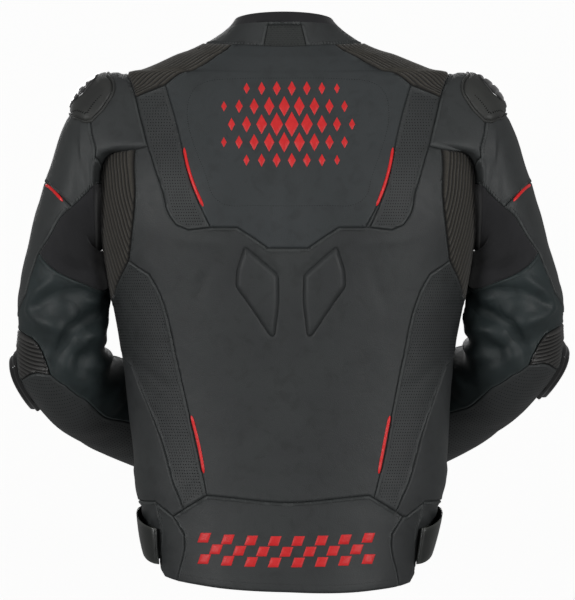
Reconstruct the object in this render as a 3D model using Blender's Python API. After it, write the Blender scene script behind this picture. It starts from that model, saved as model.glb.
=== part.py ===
"""Leather riding jacket, filled out as on a wearer, seen from behind at azimuth 180.

Metres, +Z up. The back faces +Y, the front -Y, the wearer's left is +X. The origin is the
middle of the neck opening. Tables are in millimetres.
"""

import math

import bpy
import numpy as np
from mathutils import Vector, kdtree
from mathutils.geometry import delaunay_2d_cdt

for old in list(bpy.data.objects):
    bpy.data.objects.remove(old, do_unlink=True)

# Driving sizes, mm
seamGap = 0.42        # space between two sewn pieces
leatherWall = 1.7
stretchWall = 1.3
bandWall = 2.2        # collar and hem, folded double
torsoGrid = 31.0      # facet size on the body
sleeveGrid = 27.0     # facet size on the sleeves
ribPitch = 4.1
ribHeight = 1.1
foldPitch = 5.2       # elbow accordion
foldHeight = 1.8
padHeight = 4.5       # the two back pads
armourHeight = 5.0    # shoulder caps
sliderHeight = 8.5    # elbow sliders
pipeHeight = 1.3
lift = 0.35           # what lies on a panel stands this far off it
torsoTurn = 175.0     # mm of layout per radian round the body
sleeveTurn = 55.0     # and round a sleeve
sideClear = 3.2       # the underarm stands this far clear of the body's side
sideClearFrom = 14.0  # reached at this distance from the armhole
neckRow = 66.0        # layout height of the collar seam
cuffRow = 462.0


def steps(x):
    x = np.clip(x, 0, 1)
    return x * x * (3 - 2 * x)


def bump(x, middle, spread):
    return np.exp(-(((x - middle) / spread) ** 2))


def hermite(rows, at):
    """Smooth rows of a table at the given first-column values."""
    xs, ys = rows[:, 0], rows[:, 1:]
    slope = np.gradient(ys, xs, axis=0)
    at = np.clip(at, xs[0], xs[-1])
    i = np.clip(np.searchsorted(xs, at, side="right") - 1, 0, len(xs) - 2)
    h = (xs[i + 1] - xs[i])[:, None]
    t = (at[:, None] - xs[i][:, None]) / h
    return (
        (2 * t**3 - 3 * t**2 + 1) * ys[i]
        + (t**3 - 2 * t**2 + t) * h * slope[i]
        + (-2 * t**3 + 3 * t**2) * ys[i + 1]
        + (t**3 - t**2) * h * slope[i + 1]
    )


# Body rings: row, height, half width, back depth, front depth, squareness, shift, twist of the back,
# dip of the front neck
bodyRings = np.array([
    (-670, -670, 150, 116, 103, 2.40, 1, -1, 0),
    (-620, -620, 158, 114, 105, 2.40, 1, -1, 0),
    (-580, -580, 164, 111, 107, 2.40, 0, -1, 0),
    (-550, -550, 171, 109, 108, 2.40, -1.5, -1, 0),
    (-520, -520, 181, 107, 109, 2.40, -2.5, -1, 0),
    (-480, -480, 184, 106, 111, 2.38, -3, -1.5, 0),
    (-420, -420, 189, 107, 112, 2.38, -1, -3, 0),
    (-352, -352, 196, 113, 113, 2.40, 0, -3.5, 0),
    (-296, -296, 206.5, 119, 115, 2.45, 0, -3.5, 0),
    (-246, -246, 215, 123, 118, 2.60, 0, -3.5, 0),
    (-200, -200, 221, 124, 119, 2.80, 0, -3.0, 0),
    (-150, -150, 222, 119, 116, 2.80, 0, -1.5, 4.6),
    (-100, -100, 213, 107, 105, 2.50, 0, -0.5, 16),
    (-60, -60, 201, 94, 92, 2.35, 0, 0, 27),
    (-30, -30.5, 188, 83, 82, 2.25, 0, 0, 40),
    (-12, -26.5, 169, 77, 77, 2.22, 1, 0, 38.5),
    (2, -21, 155, 74, 74, 2.20, 1, 0, 39),
    (17, -14.5, 140, 71, 72, 2.17, 2, 0, 41.5),
    (32, -8.5, 126, 68, 70, 2.14, 3, 0, 44),
    (47, -4.2, 112, 65, 68, 2.12, 4, 0, 46),
    (60, 1.8, 98, 62.5, 66, 2.08, 5, 0, 48.5),
    (66, 5, 92, 61, 65, 2.05, 5, 0, 50),
], float)

# Soft form of the back: degrees round, row, spread round, spread high, height
bodyForm = (
    (37, -165, 17, 62, 4.5),
    (-37, -165, 17, 62, 4.5),
    (0, -250, 9, 150, -3.0),
    (148, -175, 22, 60, 3.5),
    (-148, -175, 22, 60, 3.5),
)


def body(u, v):
    turn = u / torsoTurn
    high, half, back, front, square, shift, twist, scoop = hermite(bodyRings, v).T
    c, s = np.cos(turn), np.sin(turn)
    depth = np.where(c > 0, back, front)
    reach = ((np.abs(c) / depth) ** square + (np.abs(s) / half) ** square) ** (-1 / square)
    degrees = np.degrees(turn)
    for round_, row, wide, tall, height in bodyForm:
        reach = reach + height * bump(degrees, round_, wide) * bump(v, row, tall)
    neck = steps((v + 200) / (neckRow + 200))
    dip = -5 * neck * np.clip(c, 0, 1) ** 2 - scoop * np.clip(-c, 0, 1) ** 1.6
    dip = dip + 0.025 * half * s * steps((-570 - v) / 60)
    return np.stack([reach * s + shift + twist * c, reach * c, high + dip], axis=1)


def collar(u, v):
    """v runs from 0 at the neck seam to 1 at the top edge."""
    base = body(u, np.full_like(u, neckRow))
    turn = u / torsoTurn
    c, s = np.cos(turn), np.sin(turn)
    high = 29 + 12 * np.clip(c, 0, 1) ** 1.5 - 1.5 * np.clip(-c, 0, 1)
    top = np.stack([57 * s + 5, np.where(c > 0, 52 * c, 50 * c), base[:, 2] + high], axis=1)
    bow = (np.sin(np.pi * np.clip(v, 0, 1)) * 0.8)[:, None] * np.stack([s, c, np.zeros_like(s)], axis=1)
    lean = (1 - (1 - np.clip(v, 0, 1)) ** 1.5)[:, None]
    flat = base[:, :2] * (1 - lean) + top[:, :2] * lean
    rise = base[:, 2:] * (1 - v[:, None]) + top[:, 2:] * v[:, None]
    return np.concatenate([flat, rise], axis=1) + bow


def locate(surface, samples, x, z, facing):
    """Layout place whose point shows at x, z from behind (facing 1) or from the front (-1)."""
    us, vs, points, normals = samples
    miss = (points[:, 0] - x) ** 2 + (points[:, 2] - z) ** 2
    miss = miss + np.where(normals[:, 1] * facing > 0.04, 0, 1e6)
    i = int(np.argmin(miss))
    at = np.array([us[i], vs[i]])
    for _ in range(12):
        trial = surface(np.array([at[0], at[0] + 0.05, at[0]]), np.array([at[1], at[1], at[1] + 0.05]))[:, [0, 2]]
        miss2 = np.array([x, z]) - trial[0]
        jac = np.stack([trial[1] - trial[0], trial[2] - trial[0]], axis=1) / 0.05
        if abs(np.linalg.det(jac)) < 0.02:
            break
        at = at + np.clip(np.linalg.solve(jac, miss2), -6, 6)
    found = surface(at[:1], at[1:])[0]
    if math.hypot(found[0] - x, found[2] - z) > 1.5:
        at = np.array([us[i], vs[i]])
    return float(at[0]), float(at[1])


def sampled(surface, us, vs):
    u, v = [a.ravel() for a in np.meshgrid(us, vs)]
    p = surface(u, v)
    across = surface(u + 0.5, v) - p
    along = surface(u, v + 0.5) - p
    n = np.cross(across, along)
    n = -n / np.maximum(np.linalg.norm(n, axis=1), 1e-9)[:, None]
    return u, v, p, n


bodySamples = sampled(body, np.linspace(-math.pi, math.pi, 181) * torsoTurn, np.linspace(-665, neckRow, 190))


def bodyPlace(kind, a, b):
    if kind == "ring":
        return math.radians(a) * torsoTurn, float(b)
    return locate(body, bodySamples, a, b, 1 if kind == "back" else -1)


# Armhole of the left side: degrees round the sleeve, how it is given, then x, z or degrees, row
armholeTable = (
    (0, "ring", 90, -30), (13, "back", 186.0, -37), (25, "back", 183.0, -44),
    (45, "back", 178.0, -59), (60, "back", 171.0, -88), (73, "back", 163.5, -117),
    (77, "back", 178.0, -120.5), (80, "back", 191.0, -122), (84, "back", 203.0, -123),
    (90, "back", 212.0, -130), (97, "back", 217.0, -145), (104, "ring", 78.5, -160),
    (118, "ring", 79.5, -184), (134, "ring", 82.0, -208), (155, "ring", 86.5, -227),
    (180, "ring", 91.0, -236), (196, "front", 214.5, -233), (212, "front", 206.0, -224),
    (232, "front", 189.0, -203), (252, "front", 171.0, -175), (274, "front", 160.0, -141),
    (294, "front", 162.0, -106), (315, "front", 172.0, -70), (338, "front", 182.0, -49),
    (360, "ring", 90, -30),
)
armholeTurns = np.array([row[0] for row in armholeTable], float)
armholePlaces = [bodyPlace(*row[1:]) for row in armholeTable[:-1]]
armholePlaces.append(armholePlaces[0])
armholePoints = body(np.array([p[0] for p in armholePlaces]), np.array([p[1] for p in armholePlaces]))
armholeMirrored = body(-np.array([p[0] for p in armholePlaces]), np.array([p[1] for p in armholePlaces]))
armholeMirrored = armholeMirrored * np.array([-1.0, 1.0, 1.0])

# Sleeve stations, left: row, centre x y z, direction x y z, outward half width, fore-aft half width
sleeveStations = np.array([
    (26, 226, 1, -142, 0.998, 0.00, -0.061, 98, 69),
    (62, 239, 1, -165, 0.971, 0.00, -0.237, 79.5, 67),
    (106, 256, 2, -205, 0.736, 0.00, -0.677, 49, 64),
    (150, 262.3, 1, -247, 0.081, -0.05, -0.990, 46, 62),
    (200, 262.6, -2, -292, 0.000, -0.10, -0.995, 54.5, 61),
    (240, 265, -9, -330, -0.030, -0.22, -0.970, 51.5, 60),
    (284, 264, -22, -370, -0.240, -0.50, -0.830, 55, 59),
    (324, 246, -53, -400, -0.500, -0.70, -0.510, 52, 56),
    (362, 219, -86, -417, -0.620, -0.69, -0.370, 55, 53),
    (400, 184, -125, -437, -0.620, -0.69, -0.370, 53.5, 49.5),
    (430, 152, -160, -456, -0.620, -0.69, -0.370, 48.5, 46),
    (462, 112, -205, -480, -0.620, -0.69, -0.370, 41, 42),
    (500, 92, -227, -492, -0.620, -0.69, -0.370, 39, 40),
], float)

# Largest folds of a sleeve: degrees, row, degrees, row, half breadth, height
sleeveFolds = (
    (150, 262, 215, 292, 9, -5.0),
    (140, 282, 205, 312, 7, 4.0),
    (128, 306, 200, 330, 8, -5.5),
    (112, 326, 190, 352, 7, 3.5),
    (100, 350, 170, 372, 8, -4.0),
    (235, 255, 300, 285, 9, -5.0),
    (230, 285, 300, 300, 8, 4.0),
    (225, 308, 295, 318, 8, -5.0),
    (70, 222, 120, 236, 9, 3.0),
    (60, 245, 135, 262, 8, -3.0),
)


def foldOf(turns, rows):
    """Height of the folds; distances are in layout millimetres."""
    out = np.zeros_like(turns)
    for t0, r0, t1, r1, breadth, height in sleeveFolds:
        for extra in (-360, 0):
            ax, ay = (t0 + extra) * sleeveTurn * math.pi / 180, r0
            bx, by = (t1 + extra) * sleeveTurn * math.pi / 180, r1
            px, py = turns * sleeveTurn * math.pi / 180, rows
            dx, dy = bx - ax, by - ay
            along = ((px - ax) * dx + (py - ay) * dy) / (dx * dx + dy * dy)
            k = np.clip(along, 0, 1)
            far = np.hypot(px - ax - k * dx, py - ay - k * dy)
            fade = 0.35 + 0.65 * np.sin(np.pi * np.clip(along * 0.9 + 0.05, 0, 1))
            out += height * np.exp(-((far / breadth) ** 2)) * fade
    return out


# The sleeve's rises: under the shoulder cap, at its tab, and below the cap between two rows, mm
crownHigh = 6.5
tabHigh = 2.0
swellHigh, swellFrom, swellEnds = 4.8, 50, 70


def sleeveLeft(u, v, lifted=0.0, outward=0.0, opening=armholePoints):
    turns = np.mod(np.degrees(u / sleeveTurn), 360)
    first = np.stack([np.interp(turns, armholeTurns, opening[:, k]) for k in range(3)], axis=1)
    angle = np.radians(turns)
    rings = [first]
    for row in sleeveStations:
        centre, d, ru, rv = row[1:4], row[4:7] / np.linalg.norm(row[4:7]), row[7], row[8]
        side = np.array([-d[2], 0, d[0]])
        side = side / np.linalg.norm(side)
        rear = np.cross(side, d)
        rings.append(centre + ru * np.cos(angle)[:, None] * side + rv * np.sin(angle)[:, None] * rear)
    rings = np.stack(rings)
    xs = np.concatenate([[0.0], sleeveStations[:, 0]])
    slope = np.gradient(rings, xs, axis=0)
    slope[0] = (rings[1] - rings[0]) / (xs[1] - xs[0])
    at = np.clip(v, 0, xs[-1])
    i = np.clip(np.searchsorted(xs, at, side="right") - 1, 0, len(xs) - 2)
    h = (xs[i + 1] - xs[i])[:, None]
    t = (at - xs[i])[:, None] / h
    n = np.arange(len(u))
    p = (
        (2 * t**3 - 3 * t**2 + 1) * rings[i, n]
        + (t**3 - 2 * t**2 + t) * h * slope[i, n]
        + (-2 * t**3 + 3 * t**2) * rings[i + 1, n]
        + (t**3 - t**2) * h * slope[i + 1, n]
    )
    middle = np.stack([np.interp(v, sleeveStations[:, 0], sleeveStations[:, 1 + k]) for k in range(3)], axis=1)
    away = p - middle
    away = away / np.maximum(np.linalg.norm(away, axis=1), 1e-6)[:, None]
    fade = steps((v - 30) / 60)
    around = (turns + 180) % 360 - 180
    crown = crownHigh * bump(v, 11, 9) * bump(around, 0, 42) * steps(v / 8)
    tab = tabHigh * bump(turns, 84, 20) * bump(v, 12, 10) * steps(v / 6)
    swell = swellHigh * bump(around, 0, 58) * steps((v - swellFrom) / 14) * (1 - steps((v - swellEnds) / 22))
    p = p + away * (foldOf(turns, v) * fade + crown + tab + swell)[:, None]
    p[:, 2] += lifted * bump(v, 312, 88) * steps(v / 120)
    p[:, 0] += outward * bump(v, 222, 62) * steps(v / 90)
    clear = steps(v / sideClearFrom) * (1 - steps((v - 205) / 45))
    p[:, 0] += sideClear * bump(turns, 160, 62) * clear
    return p


def sleeveRight(u, v):
    """The right elbow sits higher and a little wider."""
    p = sleeveLeft(u, v, 14.0, 6.5, armholeMirrored)
    return p * np.array([-1.0, 1.0, 1.0])


sleeveSamples = sampled(
    lambda u, v: sleeveLeft(u, v), np.linspace(0, 2 * math.pi, 145) * sleeveTurn, np.linspace(2, 495, 150)
)


def sleevePlace(kind, a, b):
    if kind == "turn":
        return math.radians(a) * sleeveTurn, float(b)
    return locate(sleeveLeft, sleeveSamples, a, b, 1)


# Panels of the body, topmost first. Each corner: how it is given, then x, z or degrees, row.
# A side panel is given for the left and mirrored.
yoke = (
    ("back", 178, -59), ("back", 143, -45), ("back", 109, -27), ("ring", 52, neckRow),
    ("ring", 52, 80), ("ring", 118, 80), ("ring", 118, neckRow), ("front", 128, -46),
    ("front", 172, -70), ("ring", 96, -66), ("ring", 82, -52),
)
backPerforated = (
    ("back", 152, -32), ("back", 143, -46), ("back", 124, -115), ("back", 97, -198), ("back", 90, -212),
    ("back", 116, -215), ("back", 130, -209), ("back", 139, -196), ("back", 146, -170),
    ("back", 158, -133), ("back", 163.5, -117), ("ring", 76, -100), ("ring", 78, -58),
)
backUpper = (
    ("back", 90, -212), ("back", 59, -212), ("back", 23, -236), ("back", -23, -236),
    ("back", -59, -212), ("back", -90, -212), ("back", -112, -170), ("back", -152, -50),
    ("ring", -66, -10), ("ring", -60, 80), ("ring", 60, 80), ("ring", 66, -10), ("back", 152, -50),
    ("back", 112, -170),
)
sideRib = (
    ("back", 178, -120.5), ("back", 178, -168), ("back", 180, -202), ("back", 184, -238),
    ("back", 186, -250), ("back", 192, -262), ("back", 203, -291), ("ring", 92, -300),
    ("ring", 97, -288), ("ring", 99, -262), ("front", 206, -224), ("ring", 84, -190), ("ring", 76, -105),
)
sidePerforated = (
    ("back", 186, -250), ("back", 162, -266), ("back", 153, -281), ("back", 144, -303), ("back", 130, -364),
    ("back", 116, -425), ("back", 105, -475), ("back", 95, -523), ("back", 92, -545), ("back", 120, -552),
    ("back", 122, -540.3), ("back", 136, -502),
    ("back", 151, -451), ("back", 168, -409), ("back", 183, -373), ("ring", 92, -352), ("ring", 96, -315),
    ("ring", 97, -288), ("ring", 92, -290),
)
hemBack = (
    ("back", 134, -548), ("back", 95, -523), ("back", 0, -531), ("back", -95, -523), ("back", -134, -548),
    ("back", -121, -569), ("back", -121, -588), ("back", -128, -618), ("back", -130, -665),
    ("back", 130, -665), ("back", 128, -618), ("back", 121, -588), ("back", 121, -569),
)
hemSide = (
    ("back", 134, -548), ("back", 155, -531), ("back", 148, -562), ("back", 149.5, -600), ("back", 149.5, -665),
    ("back", 100, -665), ("back", 100, -580), ("back", 118, -548),
)
gusset = (
    ("back", 155, -531), ("ring", 80, -531), ("ring", 119, -531), ("ring", 119, -665), ("ring", 50, -665),
    ("back", 140, -600),
)
sidePanel = (
    ("back", 116, -530), ("back", 118, -548), ("back", 134, -560), ("back", 150, -550), ("ring", 70, -545),
    ("ring", 119, -545), ("ring", 119, -531), ("ring", 116, -420), ("ring", 114, -300), ("front", 189, -203),
    ("ring", 88, -230), ("ring", 90, -300), ("back", 164, -320), ("back", 148, -364), ("back", 134, -425),
)
zipStrip = (
    ("ring", 174.6, -665), ("ring", 174.6, -120), ("ring", 171.5, 0), ("ring", 170, neckRow), ("ring", 170, 80),
    ("ring", 190, 80), ("ring", 190, neckRow), ("ring", 188.5, 0), ("ring", 185.4, -120), ("ring", 185.4, -665),
)
front = (
    ("ring", 119, -665), ("ring", 119, -531), ("ring", 116, -420), ("ring", 114, -300), ("front", 189, -203),
    ("ring", 80, -100), ("ring", 80, 0), ("ring", 80, 80), ("ring", 182, 80), ("ring", 182, -665),
)

# Hem line of the whole body: how it is given, then x, z or degrees, row
hemLine = (
    ("back", 0, -640), ("back", 27, -639), ("back", 54, -637.5), ("back", 80, -635), ("back", 106, -630.5),
    ("back", 130, -625), ("back", 144, -618.5), ("back", 149, -610), ("back", 149.5, -600), ("back", 153, -595),
    ("ring", 84, -590), ("ring", 103, -585), ("ring", 119, -581), ("ring", 135, -577), ("ring", 150, -574),
    ("ring", 164, -572), ("ring", 174.6, -571), ("ring", 180, -571),
)


def mirrored(polygon):
    return [(-u, v) for u, v in polygon][::-1]


def bodyPolygon(table):
    return [bodyPlace(*row) for row in table]


def bothSides(name, table):
    left = bodyPolygon(table)
    return [(name + "_left", left), (name + "_right", mirrored(left))]


armholeLeft = list(armholePlaces[:-1])
hemHalf = bodyPolygon(hemLine)
hemRound = mirrored(hemHalf)[:-1] + hemHalf
below = hemRound + [(math.pi * torsoTurn, -700), (-math.pi * torsoTurn, -700)]

bodyPanels = (
    [("none", armholeLeft), ("none", mirrored(armholeLeft)), ("none", below)]
    + [("zip_tape", bodyPolygon(zipStrip))]
    + bothSides("shoulder_yoke", yoke)
    + bothSides("back_perforated", backPerforated)
    + bothSides("side_rib", sideRib)
    + [("hem_back", bodyPolygon(hemBack))]
    + bothSides("hem_side", hemSide)
    + bothSides("hem_gusset", gusset)
    + bothSides("side_perforated", sidePerforated)
    + [("back_upper", bodyPolygon(backUpper))]
    + bothSides("side_panel", sidePanel)
    + bothSides("front", front)
)

# Panels of a sleeve, topmost first
cuff = (("turn", -30, 436), ("turn", 390, 436), ("turn", 390, 520), ("turn", -30, 520))
head = (
    ("turn", 97, 0), ("turn", 84, 22), ("turn", 66, 26), ("turn", 40, 27), ("turn", 0, 28),
    ("turn", -40, 27), ("turn", -66, 24), ("turn", -86, 0), ("turn", -86, -20), ("turn", 97, -20),
)
upperOuter = (
    ("turn", 104, 0), ("back", 238, -175), ("back", 252, -188), ("back", 268, -186), ("turn", 4, 110),
    ("turn", -30, 110), ("turn", -48, 100), ("turn", -66, 97), ("turn", -66, 24), ("turn", -60, 10), ("turn", 80, 5),
    ("turn", 104, -20),
)
outerNarrow = (
    ("back", 252, -188), ("back", 264, -198), ("back", 277, -220), ("back", 291, -241), ("back", 300, -265),
    ("back", 307, -290), ("turn", 4, 226), ("turn", -22, 208), ("turn", -40, 150), ("turn", -48, 100),
    ("turn", -30, 101), ("turn", 4, 100), ("turn", 22, 99), ("turn", 38, 98.4), ("back", 262, -178),
)
underarm = (
    ("back", 252, -188), ("back", 264, -198), ("back", 277, -220), ("back", 291, -241), ("back", 279, -256),
    ("back", 264, -266), ("back", 240, -276), ("turn", 150, 189), ("turn", 180, 188), ("turn", 212, 176),
    ("turn", 212, 90), ("turn", 208, 62), ("turn", 196, 0), ("turn", 196, -20), ("turn", 104, -20),
    ("turn", 104, 0), ("back", 238, -175),
)
accordion = (
    ("turn", -34, 240), ("turn", 4, 238), ("back", 305, -338), ("back", 296, -344), ("back", 288, -356),
    ("back", 282, -371), ("back", 278, -384), ("back", 296, -382), ("turn", 17, 282), ("turn", 14, 261),
    ("turn", -34, 257),
)
forearmPerforated = (
    ("back", 278, -384), ("back", 259, -398), ("back", 237, -414), ("back", 207, -437), ("turn", 100, 436),
    ("turn", 100, 520), ("turn", -44, 520), ("turn", -44, 436), ("turn", -50, 360), ("turn", -64, 310),
    ("turn", -64, 268), ("turn", -34, 252), ("turn", 10, 252), ("back", 296, -376),
)
frontUpper = (
    ("turn", 196, -20), ("turn", 196, 0), ("turn", 208, 62), ("turn", 212, 90), ("turn", 212, 176), ("turn", 256, 172),
    ("turn", 306, 184), ("turn", 332, 196), ("turn", 332, 92), ("turn", 300, 80), ("turn", 300, 24),
    ("turn", 274, 0), ("turn", 274, -20),
)
forearmInner = (
    ("turn", 150, 520), ("turn", 150, 436), ("turn", 158, 392), ("turn", 176, 352), ("turn", 215, 330),
    ("turn", 262, 318), ("turn", 296, 300), ("turn", 330, 300), ("turn", 330, 520),
)

sleeveTables = (
    ("cuff", cuff), ("sleeve_head", head), ("elbow_ribs", accordion), ("underarm", underarm),
    ("sleeve_outer", outerNarrow), ("sleeve_upper", upperOuter), ("forearm_perforated", forearmPerforated),
    ("sleeve_front", frontUpper), ("forearm_inner", forearmInner),
)

# What lies on the sleeve: shoulder cap, elbow slider
capOutline = (
    ("turn", 10, 12.5), ("turn", 24, 10.5), ("turn", 38, 11.5), ("turn", 50, 17.5), ("turn", 57.5, 25.5),
    ("turn", 54.5, 32.5), ("turn", 43, 43), ("turn", 31, 52), ("turn", 14, 57), ("turn", -6, 58.5), ("turn", -26, 56),
    ("turn", -42, 46), ("turn", -52, 34), ("turn", -54.5, 26), ("turn", -47, 17), ("turn", -34, 11.5), ("turn", -14, 11),
)
sliderOutline = (
    ("turn", 9, 271), ("turn", 12, 284), ("turn", 11, 301), ("turn", 3, 313), ("turn", -18, 318), ("turn", -38, 313),
    ("turn", -52, 299), ("turn", -55, 282), ("turn", -46, 271), ("turn", -24, 267), ("turn", -4, 267),
)


def inside(polygon, points):
    poly = np.asarray(polygon, float)
    x, y = points[:, 0], points[:, 1]
    hit = np.zeros(len(points), bool)
    for (x0, y0), (x1, y1) in zip(poly, np.roll(poly, -1, axis=0)):
        if y0 == y1:
            continue
        cross = (y0 > y) != (y1 > y)
        hit ^= cross & (x < (x1 - x0) * (y - y0) / (y1 - y0) + x0)
    return hit


def farFrom(points, starts, ends, scale):
    """Distance of each point to the nearest segment, with the first axis scaled to real size."""
    if not len(starts):
        return np.full(len(points), 1e9)
    best = np.full(len(points), 1e9)
    for a, b in zip(starts, ends):
        dx, dy = (b[0] - a[0]) * scale, b[1] - a[1]
        px, py = (points[:, 0] - a[0]) * scale, points[:, 1] - a[1]
        size = dx * dx + dy * dy
        k = np.clip((px * dx + py * dy) / np.where(size > 0, size, 1), 0, 1)
        best = np.minimum(best, np.hypot(px - k * dx, py - k * dy))
    return best


def shrunk(surface, polygon, amount):
    """The polygon moved inward by a real distance."""
    poly = np.asarray(polygon, float)
    area = np.sum(poly[:, 0] * np.roll(poly[:, 1], -1) - np.roll(poly[:, 0], -1) * poly[:, 1])
    p = surface(poly[:, 0], poly[:, 1])
    du = np.linalg.norm(surface(poly[:, 0] + 1, poly[:, 1]) - p, axis=1)
    dv = np.linalg.norm(surface(poly[:, 0], poly[:, 1] + 1) - p, axis=1)
    scale = np.stack([du, dv], axis=1)
    step = (np.roll(poly, -1, axis=0) - poly) * scale
    step = step / np.maximum(np.linalg.norm(step, axis=1), 1e-9)[:, None]
    left = np.stack([-step[:, 1], step[:, 0]], axis=1) * (1 if area > 0 else -1)
    before = np.roll(left, 1, axis=0)
    move = (left + before) / np.maximum(1 + np.sum(left * before, axis=1), 0.5)[:, None]
    return [tuple(row) for row in poly + move * amount / scale]


class Layout:
    """One surface cut into panels along the outlines of a painter's list."""

    def __init__(self, surface, panels, base, bounds, wrap, grid):
        self.surface, self.base, self.wrap, self.grid = surface, base, wrap, grid
        self.bounds = bounds
        self.panels = []
        for name, polygon in panels:
            for k in (-1, 0, 1):
                moved = np.asarray(polygon, float) + [k * wrap, 0]
                if moved[:, 0].max() > bounds[0] and moved[:, 0].min() < bounds[1]:
                    self.panels.append((name, moved))
        self.starts, self.ends, self.heights = [], [], {}
        self.free = []

    def label(self, points):
        points = np.asarray(points, float)
        names = np.full(len(points), self.base, dtype=object)
        open_ = np.ones(len(points), bool)
        for name, polygon in self.panels:
            hit = open_ & inside(polygon, points)
            names[hit] = name
            open_ &= ~hit
        return names

    def span(self, a, b):
        p = self.surface(np.array([a[0], b[0]]), np.array([a[1], b[1]]))
        return float(np.linalg.norm(p[1] - p[0]))

    def clipped(self, a, b):
        """The part of a segment inside the bounds, or None."""
        u0, u1, v0, v1 = self.bounds
        a, b = np.array(a, float), np.array(b, float)
        for axis, low, high in ((0, u0, u1), (1, v0, v1)):
            for limit, sign in ((low, 1), (high, -1)):
                fa, fb = sign * (a[axis] - limit), sign * (b[axis] - limit)
                if fa < -1e-6 and fb < -1e-6:
                    return None
                if fa < -1e-6 or fb < -1e-6:
                    k = fa / (fa - fb)
                    cut = a + (b - a) * k
                    cut[axis] = limit
                    if fa < 0:
                        a = cut
                    else:
                        b = cut
        return (a, b) if np.hypot(*(b - a)) > 1e-4 else None

    def add(self, a, b, height=None):
        kept = self.clipped(a, b)
        if kept is None:
            return
        a, b = kept
        self.starts.append(a)
        self.ends.append(b)
        if height is not None:
            for p in (a, b):
                self.heights[(round(p[0], 4), round(p[1], 4))] = height

    def outlines(self, step, keep=()):
        for name, polygon in self.panels:
            for a, b in zip(polygon, np.roll(polygon, -1, axis=0)):
                parts = 1 if name in keep else max(1, int(round(self.span(a, b) / step)))
                for i in range(parts):
                    p, q = a + (b - a) * i / parts, a + (b - a) * (i + 1) / parts
                    self.edgeIfSeen(p, q)

    def edgeIfSeen(self, p, q):
        kept = self.clipped(p, q)
        if kept is None:
            return
        p, q = kept
        middle = (p + q) / 2
        u0, u1, v0, v1 = self.bounds
        side = np.array([-(q - p)[1], (q - p)[0]])
        side = side / max(np.hypot(*side), 1e-9) * 0.02
        pair = np.clip([middle + side, middle - side], [u0, v0], [u1, v1])
        names = self.label(pair)
        if names[0] != names[1]:
            self.add(p, q)

    def ring(self, polygon, step, height=None):
        polygon = np.asarray(polygon, float)
        for a, b in zip(polygon, np.roll(polygon, -1, axis=0)):
            self.line([a, b], step, height)

    def line(self, points, step, height=None):
        for a, b in zip(points[:-1], points[1:]):
            a, b = np.array(a, float), np.array(b, float)
            parts = max(1, int(round(self.span(a, b) / step)))
            for i in range(parts):
                self.add(a + (b - a) * i / parts, a + (b - a) * (i + 1) / parts, height)

    def fill(self, skip=()):
        u0, u1, v0, v1 = self.bounds
        rows = int(round((v1 - v0) / (self.grid * 0.87)))
        found = []
        for j in range(1, rows):
            v = v0 + (v1 - v0) * j / rows
            us = np.linspace(u0, u1, 73)
            p = self.surface(us, np.full_like(us, v))
            length = np.concatenate([[0], np.cumsum(np.linalg.norm(np.diff(p, axis=0), axis=1))])
            count = max(6, int(round(length[-1] / self.grid)))
            shift = 0.5 if j % 2 else 0.0
            at = (np.arange(count) + shift) * length[-1] / count
            at = at[(at > self.grid * 0.3) & (at < length[-1] - self.grid * 0.3)]
            found += [(u, v) for u in np.interp(at, length, us)]
        found = np.array(found)
        names = self.label(found)
        keep = ~np.isin(names.astype(str), list(skip) + ["none"])
        found = found[keep]
        if len(found):
            p = self.surface(found[:, 0], found[:, 1])
            scale = np.linalg.norm(self.surface(found[:, 0] + 1, found[:, 1]) - p, axis=1)
            far = farFrom(found, self.starts, self.ends, scale)
            found = found[far > self.grid * 0.52]
        self.free += [tuple(x) for x in found]

    def mesh(self):
        ids, points, edges = {}, [], []

        def place(p):
            key = (round(float(p[0]), 4), round(float(p[1]), 4))
            if key not in ids:
                ids[key] = len(points)
                points.append(key)
            return ids[key]

        for a, b in zip(self.starts, self.ends):
            i, j = place(a), place(b)
            if i != j:
                edges.append((i, j))
        for p in self.free:
            place(p)
        verts, _, faces, origin, _, _ = delaunay_2d_cdt([Vector(p) for p in points], edges, [], 0, 1e-4)
        flat = np.array([(v[0], v[1]) for v in verts])
        tris = np.array([f for f in faces if len(f) == 3])
        height = np.full(len(flat), np.nan)
        for i, sources in enumerate(origin):
            for s in sources:
                if points[s] in self.heights:
                    height[i] = self.heights[points[s]]
        middle = flat[tris].mean(axis=1)
        names = self.label(middle)
        keep = names != "none"
        return flat, tris[keep], names[keep], height


def ribLines(layout, name, lines, step, height, margin=1.6):
    """Crests and valleys inside one panel, kept clear of its edge."""
    for k, line in enumerate(lines):
        line = np.asarray(line, float)
        p = layout.surface(line[:, 0], line[:, 1])
        length = np.concatenate([[0], np.cumsum(np.linalg.norm(np.diff(p, axis=0), axis=1))])
        at = np.arange(0, length[-1], 1.0)
        dense = np.stack([np.interp(at, length, line[:, 0]), np.interp(at, length, line[:, 1])], axis=1)
        ok = layout.label(dense) == name
        if not ok.any():
            continue
        q = layout.surface(dense[:, 0], dense[:, 1])
        scale = np.linalg.norm(layout.surface(dense[:, 0] + 1, dense[:, 1]) - q, axis=1)
        ok &= farFrom(dense, layout.seenStarts, layout.seenEnds, scale) > margin
        runs, run = [], []
        for i, good in enumerate(ok):
            if good:
                run.append(i)
            elif run:
                runs.append(run)
                run = []
        if run:
            runs.append(run)
        for run in runs:
            if len(run) < 6:
                continue
            parts = max(1, int(round(len(run) / step)))
            picks = [dense[run[int(round(i * (len(run) - 1) / parts))]] for i in range(parts + 1)]
            for a, b in zip(picks[:-1], picks[1:]):
                layout.add(a, b, height if k % 2 == 0 else 0.0)


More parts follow.
